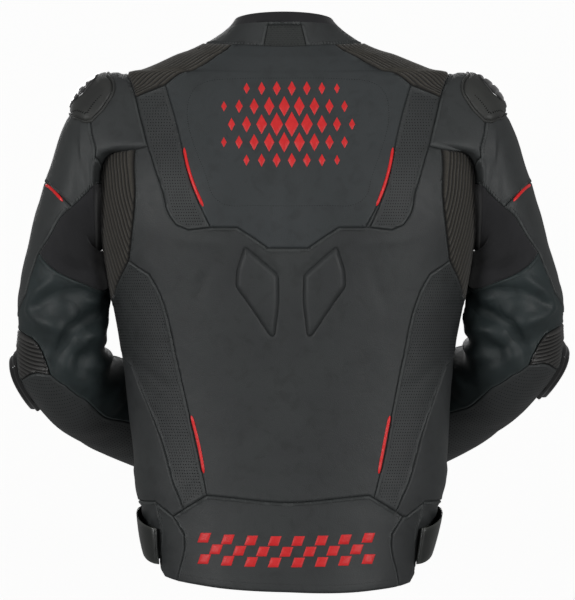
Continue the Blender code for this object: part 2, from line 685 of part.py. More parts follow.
# --- Body layout
halfTurn = math.pi * torsoTurn
bodyLayout = Layout(body, bodyPanels, "back_lower", (-halfTurn, halfTurn, -700.0, neckRow), 2 * halfTurn, torsoGrid)
bodyLayout.outlines(26.0, keep=("none",))
collarEnd = 179.3     # degrees; the two ends of the collar meet here
neckTurns = sorted(
    [math.radians(a) * torsoTurn for a in (0, 14.5, 33, 52, 71, 90, 104, 118, 136, 154, 170, collarEnd, 180)]
    + [-math.radians(a) * torsoTurn for a in (17, 33, 52, 71, 90, 104, 118, 136, 154, 170, collarEnd, 180)]
)
for a, b in zip(neckTurns[:-1], neckTurns[1:]):
    bodyLayout.add((a, neckRow), (b, neckRow))
bodyLayout.seenStarts, bodyLayout.seenEnds = list(bodyLayout.starts), list(bodyLayout.ends)
for u in (-halfTurn, halfTurn):
    bodyLayout.line([(u, -571), (u, neckRow)], 26.0, 1.2)

# Back pads: corners of the left one
padTable = ((53, -240), (44, -237), (12, -266), (11, -296), (14, -326), (21, -336), (53, -295), (60, -280), (60, -256))
padLeft = [bodyPlace("back", x, z) for x, z in padTable]
for pad in (padLeft, mirrored(padLeft)):
    bodyLayout.ring(pad, 40.0, -0.8)
    bodyLayout.ring(shrunk(body, pad, 3.2), 40.0, padHeight * 0.75)
    bodyLayout.ring(shrunk(body, pad, 9.0), 40.0, padHeight)


def yokeRibs(mirror):
    rows = np.linspace(-72, neckRow, 24)
    low = np.interp(rows, [-60, -47, -15, neckRow], [73.5, 65.5, 60, 52])
    high = np.interp(rows, [-68, -40, neckRow], [109, 113, 118])
    mid = body(np.full_like(rows, math.pi / 2 * torsoTurn), rows)
    reach = np.hypot(mid[:, 0], mid[:, 1])
    lines = []
    for k in range(1, 40):
        gap = k * ribPitch / 2 + 1.0
        turn = low + np.degrees(gap / (reach * 0.62))
        line = [(mirror * math.radians(t) * torsoTurn, r) for t, r, h in zip(turn, rows, high) if t < h]
        if len(line) > 3:
            lines.append(line)
    return lines


def sideRibs(mirror):
    lines = []
    for k in range(44):
        s = np.linspace(0, 205, 22)
        x = 180 + k * ribPitch / 2 - 0.12 * s - 0.0006 * s**2
        z = -119 - s
        wide = np.array([np.interp(zz, bodyRings[:, 1], bodyRings[:, 2]) for zz in z])
        turns = []
        for xx, zz, ww in zip(x, z, wide):
            back = np.interp(zz, bodyRings[:, 1], bodyRings[:, 3])
            ratio = xx / ww
            if ratio < 0.985:
                y = back * (1 - ratio**2.36) ** (1 / 2.36)
                turns.append(math.degrees(math.atan2(xx, y)))
            else:
                edge = math.degrees(math.atan2(0.985 * ww, back * (1 - 0.985**2.36) ** (1 / 2.36)))
                turns.append(edge + math.degrees((ratio - 0.985) * ww * 1.6 / ww))
        lines.append([(mirror * math.radians(t) * torsoTurn, zz) for t, zz in zip(turns, z)])
    return lines


for side, mirror in (("left", 1), ("right", -1)):
    ribLines(bodyLayout, "shoulder_yoke_" + side, yokeRibs(mirror), 24.0, ribHeight, 2.4)
    ribLines(bodyLayout, "side_rib_" + side, sideRibs(mirror), 22.0, ribHeight, 3.2)

# Red piping on the body: x, z seen from behind, at both ends
pipeTable = (
    ("piping_back", (121.0, -117), (97.0, -190)),
    ("piping_hem", (112.9, -428), (97.3, -500)),
)
pipeWide = 3.2
overlays = {"body": [], "left": [], "right": []}


def strip(surface, a, b, wide):
    a, b = np.array(a, float), np.array(b, float)
    p = surface(np.array([a[0], a[0] + 1, a[0]]), np.array([a[1], a[1], a[1] + 1]))
    scale = np.array([np.linalg.norm(p[1] - p[0]), np.linalg.norm(p[2] - p[0])])
    d = (b - a) * scale
    d = d / np.hypot(*d)
    side = np.array([-d[1], d[0]]) * wide / 2 / scale
    tip = d * wide * 0.9 / scale
    return [tuple(a - tip * 0.4), tuple(a + side * 0.9 + tip), tuple(b + side * 0.9 - tip), tuple(b + tip * 0.4),
            tuple(b - side * 0.9 - tip), tuple(a - side * 0.9 + tip)]


for name, a, b in pipeTable:
    left = strip(body, bodyPlace("back", *a), bodyPlace("back", *b), pipeWide)
    for side, polygon in (("left", left), ("right", mirrored(left))):
        bodyLayout.ring(polygon, 34.0)
        overlays["body"].append((name + "_" + side, polygon, pipeHeight, "red"))
bodyLayout.fill(skip=("shoulder_yoke_left", "shoulder_yoke_right", "side_rib_left", "side_rib_right", "zip_tape"))

# --- Collar layout: v from 0 to 1
bandStart = 0.70
insert = [(math.radians(14.5) * torsoTurn, -0.2), (math.radians(14.5) * torsoTurn, 0.0),
          (math.radians(22) * torsoTurn, 0.62), (math.radians(-24) * torsoTurn, 0.62),
          (math.radians(-17) * torsoTurn, 0.0), (math.radians(-17) * torsoTurn, -0.2)]
band = [(-halfTurn - 5, bandStart), (halfTurn + 5, bandStart), (halfTurn + 5, 1.2), (-halfTurn - 5, 1.2)]
endTurn = math.radians(collarEnd) * torsoTurn
collarLayout = Layout(collar, [("collar_insert", insert), ("collar_band", band)], "collar_leather",
                      (-endTurn, endTurn, 0.0, 1.0), 4 * halfTurn, 15.0)
collarTurns = neckTurns[1:-1]
for a, b in zip(collarTurns[:-1], collarTurns[1:]):
    for row in (0.0, bandStart, 1.0):
        collarLayout.add((a, row), (b, row))
    if abs(a) > 75 and abs(a) < endTurn - 1:
        collarLayout.free.append((a, 0.36))
for a, b in zip(insert[1:4], insert[2:5]):
    collarLayout.add(a, b)
for u in (-endTurn, endTurn):
    for a, b in ((0.0, bandStart), (bandStart, 1.0)):
        collarLayout.add((u, a), (u, b))

# --- Sleeve layouts
sleeveSpan = 2 * math.pi * sleeveTurn
sleevePanels = [(name, [sleevePlace(*row) for row in table]) for name, table in sleeveTables]
capRing = [sleevePlace(*row) for row in capOutline]
sliderRing = [sleevePlace(*row) for row in sliderOutline]
pipeSleeve = strip(sleeveLeft, sleevePlace("back", 283, -165), sleevePlace("back", 260, -187), pipeWide)


headNodes = ((62, 14), (70, 13), (75, 12), (79, 12), (83, 12))  # shape the flat back corner of the sleeve head


def sleeveLayout(surface, side):
    named = [(name + "_" + side, polygon) for name, polygon in sleevePanels]
    layout = Layout(surface, named, "sleeve_lower_" + side, (-sleeveSpan / 2, sleeveSpan / 2, 0.0, cuffRow), sleeveSpan, sleeveGrid)
    layout.outlines(24.0)
    for a, b in zip(armholeTurns[:-1], armholeTurns[1:]):
        back = 360 if a >= 180 else 0
        layout.add((math.radians(a - back) * sleeveTurn, 0.0), (math.radians(b - back) * sleeveTurn, 0.0))
    for a in range(-180, 180, 20):
        layout.add((math.radians(a) * sleeveTurn, cuffRow), (math.radians(a + 20) * sleeveTurn, cuffRow))
    layout.seenStarts, layout.seenEnds = list(layout.starts), list(layout.ends)
    for u in (-sleeveSpan / 2, sleeveSpan / 2):
        layout.line([(u, 0.0), (u, cuffRow)], 24.0)
    for polygon, insets in ((capRing, (4.0, 13.0)), (sliderRing, (3.5, 11.0))):
        layout.ring(polygon, 22.0)
        for amount in insets:
            layout.ring(shrunk(surface, polygon, amount), 26.0)
    layout.ring(pipeSleeve, 30.0)
    lines = []
    for j in range(20):
        row = 242 + j * foldPitch / 2
        lines.append([(math.radians(t) * sleeveTurn, row + 0.05 * (abs(t) - 10)) for t in np.linspace(-31, 78, 18)])
    ribLines(layout, "elbow_ribs_" + side, lines, 20.0, foldHeight)
    for turn, row in headNodes:
        layout.free.append((math.radians(turn) * sleeveTurn, row))
    layout.fill(skip=("elbow_ribs_" + side,))
    overlays[side] += [
        ("shoulder_cap_" + side, capRing, armourHeight, "cap"),
        ("elbow_slider_" + side, sliderRing, sliderHeight, "cap"),
        ("piping_sleeve_" + side, pipeSleeve, pipeHeight, "red"),
    ]
    return layout


leftLayout = sleeveLayout(sleeveLeft, "left")
rightLayout = sleeveLayout(sleeveRight, "right")

# --- One shell of all surfaces, joined where they meet, so that neighbours share normals
flats, points, faces, names, heights, sources = [], [], [], [], [], []
count = 0
for key, layout, turnOver in (
    ("body", bodyLayout, True), ("collar", collarLayout, True), ("left", leftLayout, True), ("right", rightLayout, False),
):
    flat, tris, label, height = layout.mesh()
    surface3 = layout.surface(flat[:, 0], flat[:, 1])
    area = np.cross(surface3[tris[:, 1]] - surface3[tris[:, 0]], surface3[tris[:, 2]] - surface3[tris[:, 0]])
    flatArea = np.cross(flat[tris[:, 1]] - flat[tris[:, 0]], flat[tris[:, 2]] - flat[tris[:, 0]])
    order = (flatArea < 0) ^ turnOver
    tris = np.where(order[:, None], tris[:, ::-1], tris)
    flats.append(flat)
    points.append(surface3)
    faces.append(tris + count)
    names += list(label)
    heights.append(height)
    sources += [key] * len(tris)
    count += len(flat)
flats, points, faces, heights = (np.concatenate(a) for a in (flats, points, faces, heights))
names, sources = np.array(names, dtype=object), np.array(sources, dtype=object)

used = np.zeros(len(points), bool)
used[faces.ravel()] = True
tree = kdtree.KDTree(len(points))
for i, p in enumerate(points):
    if used[i]:
        tree.insert(p, i)
tree.balance()
same = np.arange(len(points))
for i, p in enumerate(points):
    if used[i]:
        near = min(index for _, index, _ in tree.find_range(p, 0.05))
        same[i] = min(near, i)
same = same[same]
shell = same[faces]
good = (shell[:, 0] != shell[:, 1]) & (shell[:, 1] != shell[:, 2]) & (shell[:, 0] != shell[:, 2])
shell, faces, names, sources = shell[good], faces[good], names[good], sources[good]

normals = np.zeros_like(points)
a, b, c = (points[shell[:, k]] for k in range(3))
facing = np.cross(b - a, c - a)
facing = facing / np.maximum(np.linalg.norm(facing, axis=1), 1e-12)[:, None]
for k in range(3):
    p, q, r = (points[shell[:, (k + m) % 3]] for m in range(3))
    e, f = q - p, r - p
    cosine = np.sum(e * f, axis=1) / np.maximum(np.linalg.norm(e, axis=1) * np.linalg.norm(f, axis=1), 1e-12)
    np.add.at(normals, shell[:, k], facing * np.arccos(np.clip(cosine, -1, 1))[:, None])
normals = normals / np.maximum(np.linalg.norm(normals, axis=1), 1e-12)[:, None]

colours = {
    "leather": ((0.045, 0.047, 0.047), 0.42), "rib": ((0.030, 0.027, 0.023), 0.75),
    "stretch": ((0.012, 0.012, 0.016), 0.85), "red": ((0.75, 0.02, 0.025), 0.4),
    "armour": ((0.02, 0.021, 0.022), 0.28), "metal": ((0.25, 0.25, 0.26), 0.35),
}


def material(name, kind):
    colour, rough = colours[kind]
    made = bpy.data.materials.new(name)
    made.use_nodes = True
    shader = made.node_tree.nodes["Principled BSDF"]
    shader.inputs["Base Color"].default_value = (*colour, 1)
    shader.inputs["Roughness"].default_value = rough
    shader.inputs["Metallic"].default_value = 1.0 if kind == "metal" else 0.0
    made.diffuse_color = (*colour, 1)
    return made


def solid(name, kind, verts, tris, smooth=True):
    mesh = bpy.data.meshes.new(name)
    mesh.from_pydata([tuple(p) for p in np.asarray(verts) * 0.001], [], [tuple(int(i) for i in t) for t in tris])
    mesh.materials.append(material(name, kind))
    if smooth:
        mesh.shade_smooth()
        mesh.set_sharp_from_angle(angle=math.radians(40))
    made = bpy.data.objects.new(name, mesh)
    bpy.context.scene.collection.objects.link(made)
    return made


def wall(name, kind, tris, outer, inner, inset):
    """A closed wall over a set of shell triangles; outer and inner are heights by shell vertex."""
    index, flatTris = np.unique(tris, return_inverse=True)
    flatTris = flatTris.reshape(-1, 3)
    p, n = points[index], normals[index]
    edges = {}
    for t in flatTris:
        for i, j in ((t[0], t[1]), (t[1], t[2]), (t[2], t[0])):
            edges[(i, j)] = edges.get((i, j), 0) + 1
    border = [(i, j) for i, j in edges if (j, i) not in edges]
    lefts = {}
    for i, j in border:
        d = p[j] - p[i]
        for k in (i, j):
            side = np.cross(n[k], d)
            lefts.setdefault(k, []).append(side / max(np.linalg.norm(side), 1e-9))
    move = np.zeros_like(p)
    for k, sides in lefts.items():
        first, second = sides[0], sides[-1]
        move[k] = inset * (first + second) / max(1 + float(np.dot(first, second)), 0.45)
    top = p + move + n * outer[index][:, None]
    bottom = p + move + n * inner[index][:, None]
    size = len(index)
    out = [tuple(t) for t in flatTris] + [(t[2] + size, t[1] + size, t[0] + size) for t in flatTris]
    for i, j in border:
        out += [(j, i, i + size), (j, i + size, j + size)]
    return solid(name, kind, np.concatenate([top, bottom]), out)


kinds = {
    "shoulder_yoke": ("rib", stretchWall), "side_rib": ("rib", stretchWall), "elbow_ribs": ("rib", stretchWall),
    "underarm": ("stretch", leatherWall), "collar_band": ("stretch", bandWall), "collar_leather": ("leather", bandWall),
    "hem_back": ("leather", bandWall), "hem_side": ("leather", bandWall), "zip_tape": ("stretch", 1.5),
}
raised = np.nan_to_num(heights, nan=0.0)
raisedShell = np.zeros(len(points))
np.maximum.at(raisedShell, same, np.where(raised > 0, raised, 0))
low = np.zeros(len(points))
np.minimum.at(low, same, np.where(raised < 0, raised, 0))
raisedShell = raisedShell + low
ribbed = ("shoulder_yoke", "side_rib", "elbow_ribs", "zip_tape", "back_lower")
for name in sorted(set(names)):
    mine = shell[names == name]
    stem = name.replace("_left", "").replace("_right", "")
    kind, thick = kinds.get(stem, ("leather", leatherWall))
    height = raisedShell if stem in ribbed else np.zeros(len(points))
    wall(name, kind, mine, height, np.full(len(points), -thick), seamGap / 2)

# --- Pieces that lie on a panel, made from its own points moved out
for key, listed in overlays.items():
    layout = {"body": bodyLayout, "left": leftLayout, "right": rightLayout}[key]
    middles = flats[faces].mean(axis=1)
    for name, polygon, height, kind in listed:
        hit = np.zeros(len(faces), bool)
        edge = np.zeros(len(points), bool)
        for k in (-1, 0, 1):
            moved = np.asarray(polygon) + [k * layout.wrap, 0]
            hit |= inside(moved, middles) & (sources == key)
        mine = shell[hit]
        own = faces[hit]
        top = np.full(len(points), lift + height)
        if kind == "cap":
            far = np.full(len(points), 0.0)
            for i in np.unique(own):
                best = 1e9
                p = flats[i]
                scale = np.linalg.norm(layout.surface(p[:1] + 1, p[1:]) - layout.surface(p[:1], p[1:]))
                for k in (-1, 0, 1):
                    moved = np.asarray(polygon) + [k * layout.wrap, 0]
                    best = min(best, float(farFrom(p[None], moved, np.roll(moved, -1, axis=0), scale)[0]))
                far[same[i]] = best
            top = lift + height * np.interp(far, [0, 1.5, 4.0, 13.0], [0.35, 0.35, 0.8, 1.0])
        wall(name, "armour" if kind == "cap" else "red", mine, top, np.full(len(points), lift), 0.0)

# --- Pieces that stand by themselves: waist straps, the zip's slider and pull, the collar's tab and snap


def frameAt(surface, u, v, reach=6.0):
    """Point, direction up the layout, outward normal and the direction across, at one place."""
    p = surface(np.array([u, u, u, u + 3]), np.array([v, v - reach, v + reach, v]))
    up = (p[2] - p[1]) / np.linalg.norm(p[2] - p[1])
    across = p[3] - p[0]
    across = across - up * float(across @ up)
    across = across / np.linalg.norm(across)
    out = np.cross(across, up)
    if out @ (p[0] - np.array([0, 0, p[0][2]])) < 0:
        out = -out
    return p[0], up, out, np.cross(up, out)


def sheetSolid(name, kind, outer, inner):
    """A wall between two grids of points of the same size, closed all round."""
    rows, columns = outer.shape[:2]
    index = np.arange(rows * columns).reshape(rows, columns)
    size = rows * columns
    tris = []
    for i in range(rows - 1):
        for j in range(columns - 1):
            a, b, c, d = index[i, j], index[i, j + 1], index[i + 1, j + 1], index[i + 1, j]
            tris += [(a, b, c), (a, c, d), (a + size, c + size, b + size), (a + size, d + size, c + size)]
    rim = list(index[0, :]) + list(index[1:, -1]) + list(index[-1, -2::-1]) + list(index[-2:0:-1, 0])
    for a, b in zip(rim, rim[1:] + rim[:1]):
        tris += [(b, a, a + size), (b, a + size, b + size)]
    verts = np.concatenate([outer.reshape(-1, 3), inner.reshape(-1, 3)])
    mesh = np.array(tris)
    a, b, c = (verts[mesh[:, k]] for k in range(3))
    if np.sum(np.cross(a, b) * c) < 0:
        mesh = mesh[:, ::-1]
    return solid(name, kind, verts, mesh)


# Strap, from the front seam round to its folded end: degrees round, distance out, top, height
strapThick = 2.2
strapTable = np.array([
    (117, 1.45, -533, 40), (111, 2.3, -535, 41), (102, 6.6, -538, 41), (93, 9.6, -542, 42), (85, 11.4, -547, 42),
    (78, 12.6, -553, 42), (73, 12.2, -558, 42), (69.6, 10.0, -561, 42), (68.2, 7.0, -562, 42), (69.0, 4.2, -562, 42),
    (71.6, 2.2, -561, 42), (75, 1.45, -559, 42),
], float)


def strapSolid(name, mirror):
    middle = []
    for level in np.linspace(0, 1, 4):
        rows = strapTable[:, 2] - strapTable[:, 3] * level
        u = np.radians(strapTable[:, 0]) * torsoTurn * mirror
        p = body(u, rows)
        side = body(u + 1, rows) - body(u - 1, rows)
        flat = np.stack([side[:, 1], -side[:, 0], np.zeros(len(u))], axis=1)
        flat = flat / np.linalg.norm(flat, axis=1)[:, None]
        flat = flat * np.sign(np.sum(flat * p, axis=1))[:, None]
        swell = 0.8 * math.sin(math.pi * level)
        q = p + flat * (strapTable[:, 1] + swell)[:, None]
        q[:, 2] = rows
        middle.append(q)
    middle = np.array(middle)
    along = np.gradient(middle, axis=1)
    flat = np.stack([along[..., 1], -along[..., 0], np.zeros(along.shape[:2])], axis=2)
    flat = flat / np.linalg.norm(flat, axis=2)[..., None]
    return sheetSolid(name, "leather", middle + flat * strapThick / 2, middle - flat * strapThick / 2)


strapSolid("waist_strap_left", 1)
strapSolid("waist_strap_right", -1)

# Collar tab across the front opening, and its snap
tabTurns, tabRows = (167.0, 197.0), (0.26, 0.60)
tabOut, tabThick = 0.5, 1.8
snapTurn, snapWide, snapHigh = 190.5, 11.0, 1.8


def tabPoints(out):
    grid = []
    for across in np.linspace(-1, 1, 5):
        turns = np.linspace(tabTurns[0], tabTurns[1], 9)
        end = np.clip((turns - 188.0) / (tabTurns[1] - 188.0), 0, 1)
        half = (tabRows[1] - tabRows[0]) / 2 * np.sqrt(1 - 0.8 * end**2)
        u = np.radians(turns) * torsoTurn
        v = (tabRows[0] + tabRows[1]) / 2 + across * half
        p = collar(u, v)
        n = np.cross(collar(u + 0.5, v) - p, collar(u, v + 0.01) - p)
        n = n / np.linalg.norm(n, axis=1)[:, None]
        n = n * np.sign(np.sum(n[:, :2] * p[:, :2], axis=1))[:, None]
        grid.append(p + n * out)
    return np.array(grid)


sheetSolid("collar_tab", "leather", tabPoints(tabOut + tabThick), tabPoints(tabOut))


def turned(name, kind, middle, axis, profile, sides):
    """A solid of revolution from pairs of distance along the axis and radius."""
    axis = np.asarray(axis)
    one = np.cross(axis, [0.0, 0.0, 1.0])
    one = one / np.linalg.norm(one)
    two = np.cross(axis, one)
    verts, tris = [middle + axis * profile[0][0]], []
    for high, radius in profile:
        for k in range(sides):
            a = 2 * math.pi * k / sides
            verts.append(middle + axis * high + radius * (math.cos(a) * one + math.sin(a) * two))
    verts.append(middle + axis * profile[-1][0])
    for k in range(sides):
        m = (k + 1) % sides
        tris.append((0, 1 + m, 1 + k))
        for r in range(len(profile) - 1):
            a, b = 1 + r * sides, 1 + (r + 1) * sides
            tris += [(a + k, a + m, b + m), (a + k, b + m, b + k)]
        last = 1 + (len(profile) - 1) * sides
        tris.append((last + k, last + m, len(verts) - 1))
    return solid(name, kind, verts, tris)


snapAt, _, snapOut, _ = frameAt(collar, math.radians(snapTurn) * torsoTurn, (tabRows[0] + tabRows[1]) / 2, 0.08)
snapFoot = tabOut + tabThick + lift
snapRadius = snapWide / 2
turned("collar_snap", "metal", snapAt, snapOut, (
    (snapFoot, snapRadius - 0.6), (snapFoot + 0.5, snapRadius), (snapFoot + 1.0, snapRadius - 0.4),
    (snapFoot + snapHigh, snapRadius * 0.55)), 14)

# Zip slider with its bail, and the pull on it. Lengths run along the zip, across it and out of it.
sliderRow = 17.0
sliderFoot, sliderTop = 1.7, 5.0
bailLeg, bailInside, bailWide, bailTop = 1.2, 2.6, 2.6, 8.8
pinOut, pinRadius = 6.3, 0.9
pullArm, pullInside, pullWide, pullLong, pullThick = 1.6, 2.0, 9.0, 28.0, 1.6
zipAt, zipUp, zipOut, zipAcross = frameAt(body, halfTurn, sliderRow, 24.0)


def cells(name, kind, along, across, out, filled):
    """Boxes between the given planes, joined into one body; filled says which are solid."""
    index, verts, tris = {}, [], []

    def corner(i, j, k):
        if (i, j, k) not in index:
            index[(i, j, k)] = len(verts)
            verts.append(zipAt + zipUp * along[i] + zipAcross * across[j] + zipOut * out[k])
        return index[(i, j, k)]

    size = (len(along) - 1, len(across) - 1, len(out) - 1)
    solidCells = {(i, j, k) for i in range(size[0]) for j in range(size[1]) for k in range(size[2]) if filled(i, j, k)}
    hand = 1 if np.dot(np.cross(zipUp, zipAcross), zipOut) > 0 else -1
    for i, j, k in solidCells:
        for axis, step in ((0, 1), (0, -1), (1, 1), (1, -1), (2, 1), (2, -1)):
            beside = [i, j, k]
            beside[axis] += step
            if tuple(beside) in solidCells:
                continue
            low = [i, j, k]
            low[axis] += 1 if step > 0 else 0
            one, two = [(axis + 1) % 3, (axis + 2) % 3]
            ring = []
            for a, b in ((0, 0), (1, 0), (1, 1), (0, 1)):
                at = list(low)
                at[one] += a
                at[two] += b
                ring.append(corner(*at))
            if step * hand < 0:
                ring = ring[::-1]
            tris += [(ring[0], ring[1], ring[2]), (ring[0], ring[2], ring[3])]
    return solid(name, kind, verts, tris, smooth=False)


legOut = bailInside + bailLeg
cells("zip_slider", "metal",
      (-7.0, -legOut, -bailInside, bailInside, legOut, 7.0),
      (-4.5, -bailWide / 2, bailWide / 2, 4.5),
      (sliderFoot, sliderTop, bailTop - bailLeg, bailTop),
      lambda i, j, k: k == 0 or (j == 1 and 1 <= i <= 3 and (k == 2 or i in (1, 3))))
cells("zip_pull", "metal",
      (-pullLong, -pullLong + 3.0, -9.5, -5.6, -pinRadius, pinRadius),
      (-pullWide / 2, -pullInside - pullArm, -pullInside, pullInside, pullInside + pullArm, pullWide / 2),
      (pinOut - pullThick / 2, pinOut + pullThick / 2),
      lambda i, j, k: (1 <= j <= 3) if i in (0, 4) else (1 <= j <= 3 and (i != 3 or j != 2)) or (i in (1,)))
print("nodes", len(bpy.data.objects), "triangles", sum(len(o.data.polygons) for o in bpy.data.objects))
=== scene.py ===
import math

import bmesh
import bpy
import numpy as np
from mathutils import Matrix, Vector, kdtree, noise
from mathutils.bvhtree import BVHTree
from mathutils.geometry import delaunay_2d_cdt


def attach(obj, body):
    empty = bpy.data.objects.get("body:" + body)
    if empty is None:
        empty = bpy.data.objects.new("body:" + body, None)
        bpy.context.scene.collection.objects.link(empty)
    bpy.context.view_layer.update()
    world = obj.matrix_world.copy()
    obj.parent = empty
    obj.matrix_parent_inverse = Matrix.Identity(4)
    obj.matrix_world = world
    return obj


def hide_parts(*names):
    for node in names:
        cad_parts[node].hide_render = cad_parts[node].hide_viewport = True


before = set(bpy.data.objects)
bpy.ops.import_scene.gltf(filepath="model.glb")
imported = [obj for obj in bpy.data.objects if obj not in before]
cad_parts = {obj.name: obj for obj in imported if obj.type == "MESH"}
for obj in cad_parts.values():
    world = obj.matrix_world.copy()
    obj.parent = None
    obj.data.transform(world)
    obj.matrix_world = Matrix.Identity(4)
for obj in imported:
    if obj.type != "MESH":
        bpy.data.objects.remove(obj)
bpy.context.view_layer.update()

print("frame loaded,", len(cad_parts), "nodes")

# Lengths in the tables are millimetres; meshes are made in metres. The back faces +Y.
mm = 0.001

# Camera: behind the jacket, level with its middle, far away with a long lens
shot = {"imageHigh": 600, "mmPerPixel": 1.174, "distance": 9.0, "x": 0.0006, "y": 0.0, "z": -0.296,
        "sensor": 36.0}
camera = bpy.data.objects.new("camera", bpy.data.cameras.new("camera"))
bpy.context.scene.collection.objects.link(camera)
camera.data.sensor_width = shot["sensor"]
camera.data.lens = shot["sensor"] * shot["distance"] / (shot["imageHigh"] * shot["mmPerPixel"] * mm)
camera.data.clip_end = 100
camera.location = (shot["x"], shot["y"] + shot["distance"], shot["z"])
camera.rotation_euler = (math.pi / 2, 0, math.pi)
bpy.context.scene.camera = camera
bpy.context.scene.view_settings.view_transform = "Standard"

# Studio: a white sweep that shines but lights nothing, a dim sky and four soft boxes
studio = {"floor": -1.05, "flatTo": 15.0, "curve": 6.0, "wall": 16.0, "sky": 0.24, "shine": 0.75}
softBoxes = (
    # name, place, size, watts
    ("lampTop", (0.0, 1.3, 2.4), 1.8, 6),
    ("lampLeft", (2.5, 2.5, 0.2), 1.1, 42),
    ("lampRight", (-2.4, 2.6, 0.15), 1.1, 41),
    ("lampFront", (0.4, -3.0, 0.8), 1.8, 28),
)


def addNode(tree, kind, values=None, links=None, **settings):
    node = tree.nodes.new(kind)
    for name, value in settings.items():
        setattr(node, name, value)
    for name, value in (values or {}).items():
        node.inputs[name].default_value = value
    for name, socket in (links or {}).items():
        tree.links.new(socket, node.inputs[name])
    return node


def linear(text):
    parts = [int(text[i:i + 2], 16) / 255 for i in (0, 2, 4)]
    return tuple(p / 12.92 if p <= 0.04045 else ((p + 0.055) / 1.055) ** 2.4 for p in parts) + (1.0,)


def buildStudio():
    world = bpy.data.worlds.new("sky")
    bpy.context.scene.world = world
    world.use_nodes = True
    world.node_tree.nodes["Background"].inputs[0].default_value = (1, 1, 1, 1)
    world.node_tree.nodes["Background"].inputs[1].default_value = studio["sky"]
    profile = [(0.0, 0.0), (studio["flatTo"], 0.0)]
    for k in range(1, 9):
        a = k / 8 * math.pi / 2
        profile.append((studio["flatTo"] + studio["curve"] * math.sin(a),
                        studio["curve"] * (1 - math.cos(a))))
    profile.append((studio["flatTo"] + studio["curve"], studio["wall"]))
    sides = 96
    verts, faces = [], []
    for r, z in profile:
        for k in range(sides):
            a = 2 * math.pi * k / sides
            verts.append((r * math.cos(a), r * math.sin(a), z + studio["floor"]))
    for i in range(len(profile) - 1):
        for k in range(sides):
            m = (k + 1) % sides
            faces.append((i * sides + k, i * sides + m, (i + 1) * sides + m, (i + 1) * sides + k))
    mesh = bpy.data.meshes.new("sweep")
    mesh.from_pydata(verts, [], faces)
    mesh.shade_smooth()
    paint = bpy.data.materials.new("paleStudioPaint")
    paint.use_nodes = True
    shader = paint.node_tree.nodes["Principled BSDF"]
    shader.inputs["Base Color"].default_value = linear("f6f6f5")
    shader.inputs["Roughness"].default_value = 0.9
    shader.inputs["Specular IOR Level"].default_value = 0.1
    shader.inputs["Emission Color"].default_value = (1, 1, 1, 1)
    shader.inputs["Emission Strength"].default_value = studio["shine"]
    mesh.materials.append(paint)
    sweep = bpy.data.objects.new("sweep", mesh)
    bpy.context.scene.collection.objects.link(sweep)
    sweep.visible_diffuse = False
    sweep.visible_glossy = False
    target = Vector((0, 0, -0.3))
    for name, place, size, watts in softBoxes:
        light = bpy.data.lights.new(name, "AREA")
        light.energy, light.size = watts, size
        lamp = bpy.data.objects.new(name, light)
        lamp.location = place
        lamp.rotation_euler = (Vector(place) - target).to_track_quat("Z", "Y").to_euler()
        lamp.visible_camera = False
        bpy.context.scene.collection.objects.link(lamp)


buildStudio()
print("studio ready")

# The garment's form. Body rings: row, height, half width, back depth, front depth, squareness, shift,
# twist of the back, dip of the front neck
torsoTurn, sleeveTurn = 175.0, 55.0    # mm of layout for each radian
neckRow, cuffRow = 66.0, 462.0
bodyRings = np.array([
    (-670, -670, 150, 116, 103, 2.40, 1, -1, 0),
    (-620, -620, 158, 114, 105, 2.40, 1, -1, 0),
    (-580, -580, 164, 111, 107, 2.40, 0, -1, 0),
    (-550, -550, 171, 109, 108, 2.40, -1.5, -1, 0),
    (-520, -520, 181, 107, 109, 2.40, -2.5, -1, 0),
    (-480, -480, 184, 106, 111, 2.38, -3, -1.5, 0),
    (-420, -420, 189, 107, 112, 2.38, -1, -3, 0),
    (-352, -352, 196, 113, 113, 2.40, 0, -3.5, 0),
    (-296, -296, 206.5, 119, 115, 2.45, 0, -3.5, 0),
    (-246, -246, 215, 123, 118, 2.60, 0, -3.5, 0),
    (-200, -200, 221, 124, 119, 2.80, 0, -3.0, 0),
    (-150, -150, 222, 119, 116, 2.80, 0, -1.5, 4.6),
    (-100, -100, 213, 107, 105, 2.50, 0, -0.5, 16),
    (-60, -60, 201, 94, 92, 2.35, 0, 0, 27),
    (-30, -30.5, 188, 82.6, 82, 2.25, 0, 0, 40),
    (-12, -26.5, 169, 80.6, 77, 2.22, 1, 0, 38.5),
    (2, -21, 155, 77.6, 74, 2.20, 1, 0, 39),
    (17, -14.5, 140, 73.8, 72, 2.17, 2, 0, 41.5),
    (32, -8.5, 126, 70.0, 70, 2.14, 3, 0, 44),
    (47, -4.2, 112, 66.6, 68, 2.12, 4, 0, 46),
    (60, 1.8, 98, 62.5, 66, 2.08, 5, 0, 48.5),
    (66, 5, 92, 61, 65, 2.05, 5, 0, 50),
], float)

# Soft form of the back: degrees round, row, spread round, spread high, height
bodyForm = (
    (37, -165, 17, 62, 4.5), (-37, -165, 17, 62, 4.5), (0, -250, 9, 150, -3.0),
    (148, -175, 22, 60, 3.5), (-148, -175, 22, 60, 3.5),
)


def steps(x):
    x = np.clip(x, 0, 1)
    return x * x * (3 - 2 * x)


def bump(x, middle, spread):
    return np.exp(-(((x - middle) / spread) ** 2))


def unit(rows):
    return rows / np.maximum(np.linalg.norm(rows, axis=1), 1e-9)[:, None]


def lengthsAlong(points):
    # running length at each point of a line
    return np.concatenate([[0], np.cumsum(np.linalg.norm(np.diff(points, axis=0), axis=1))])


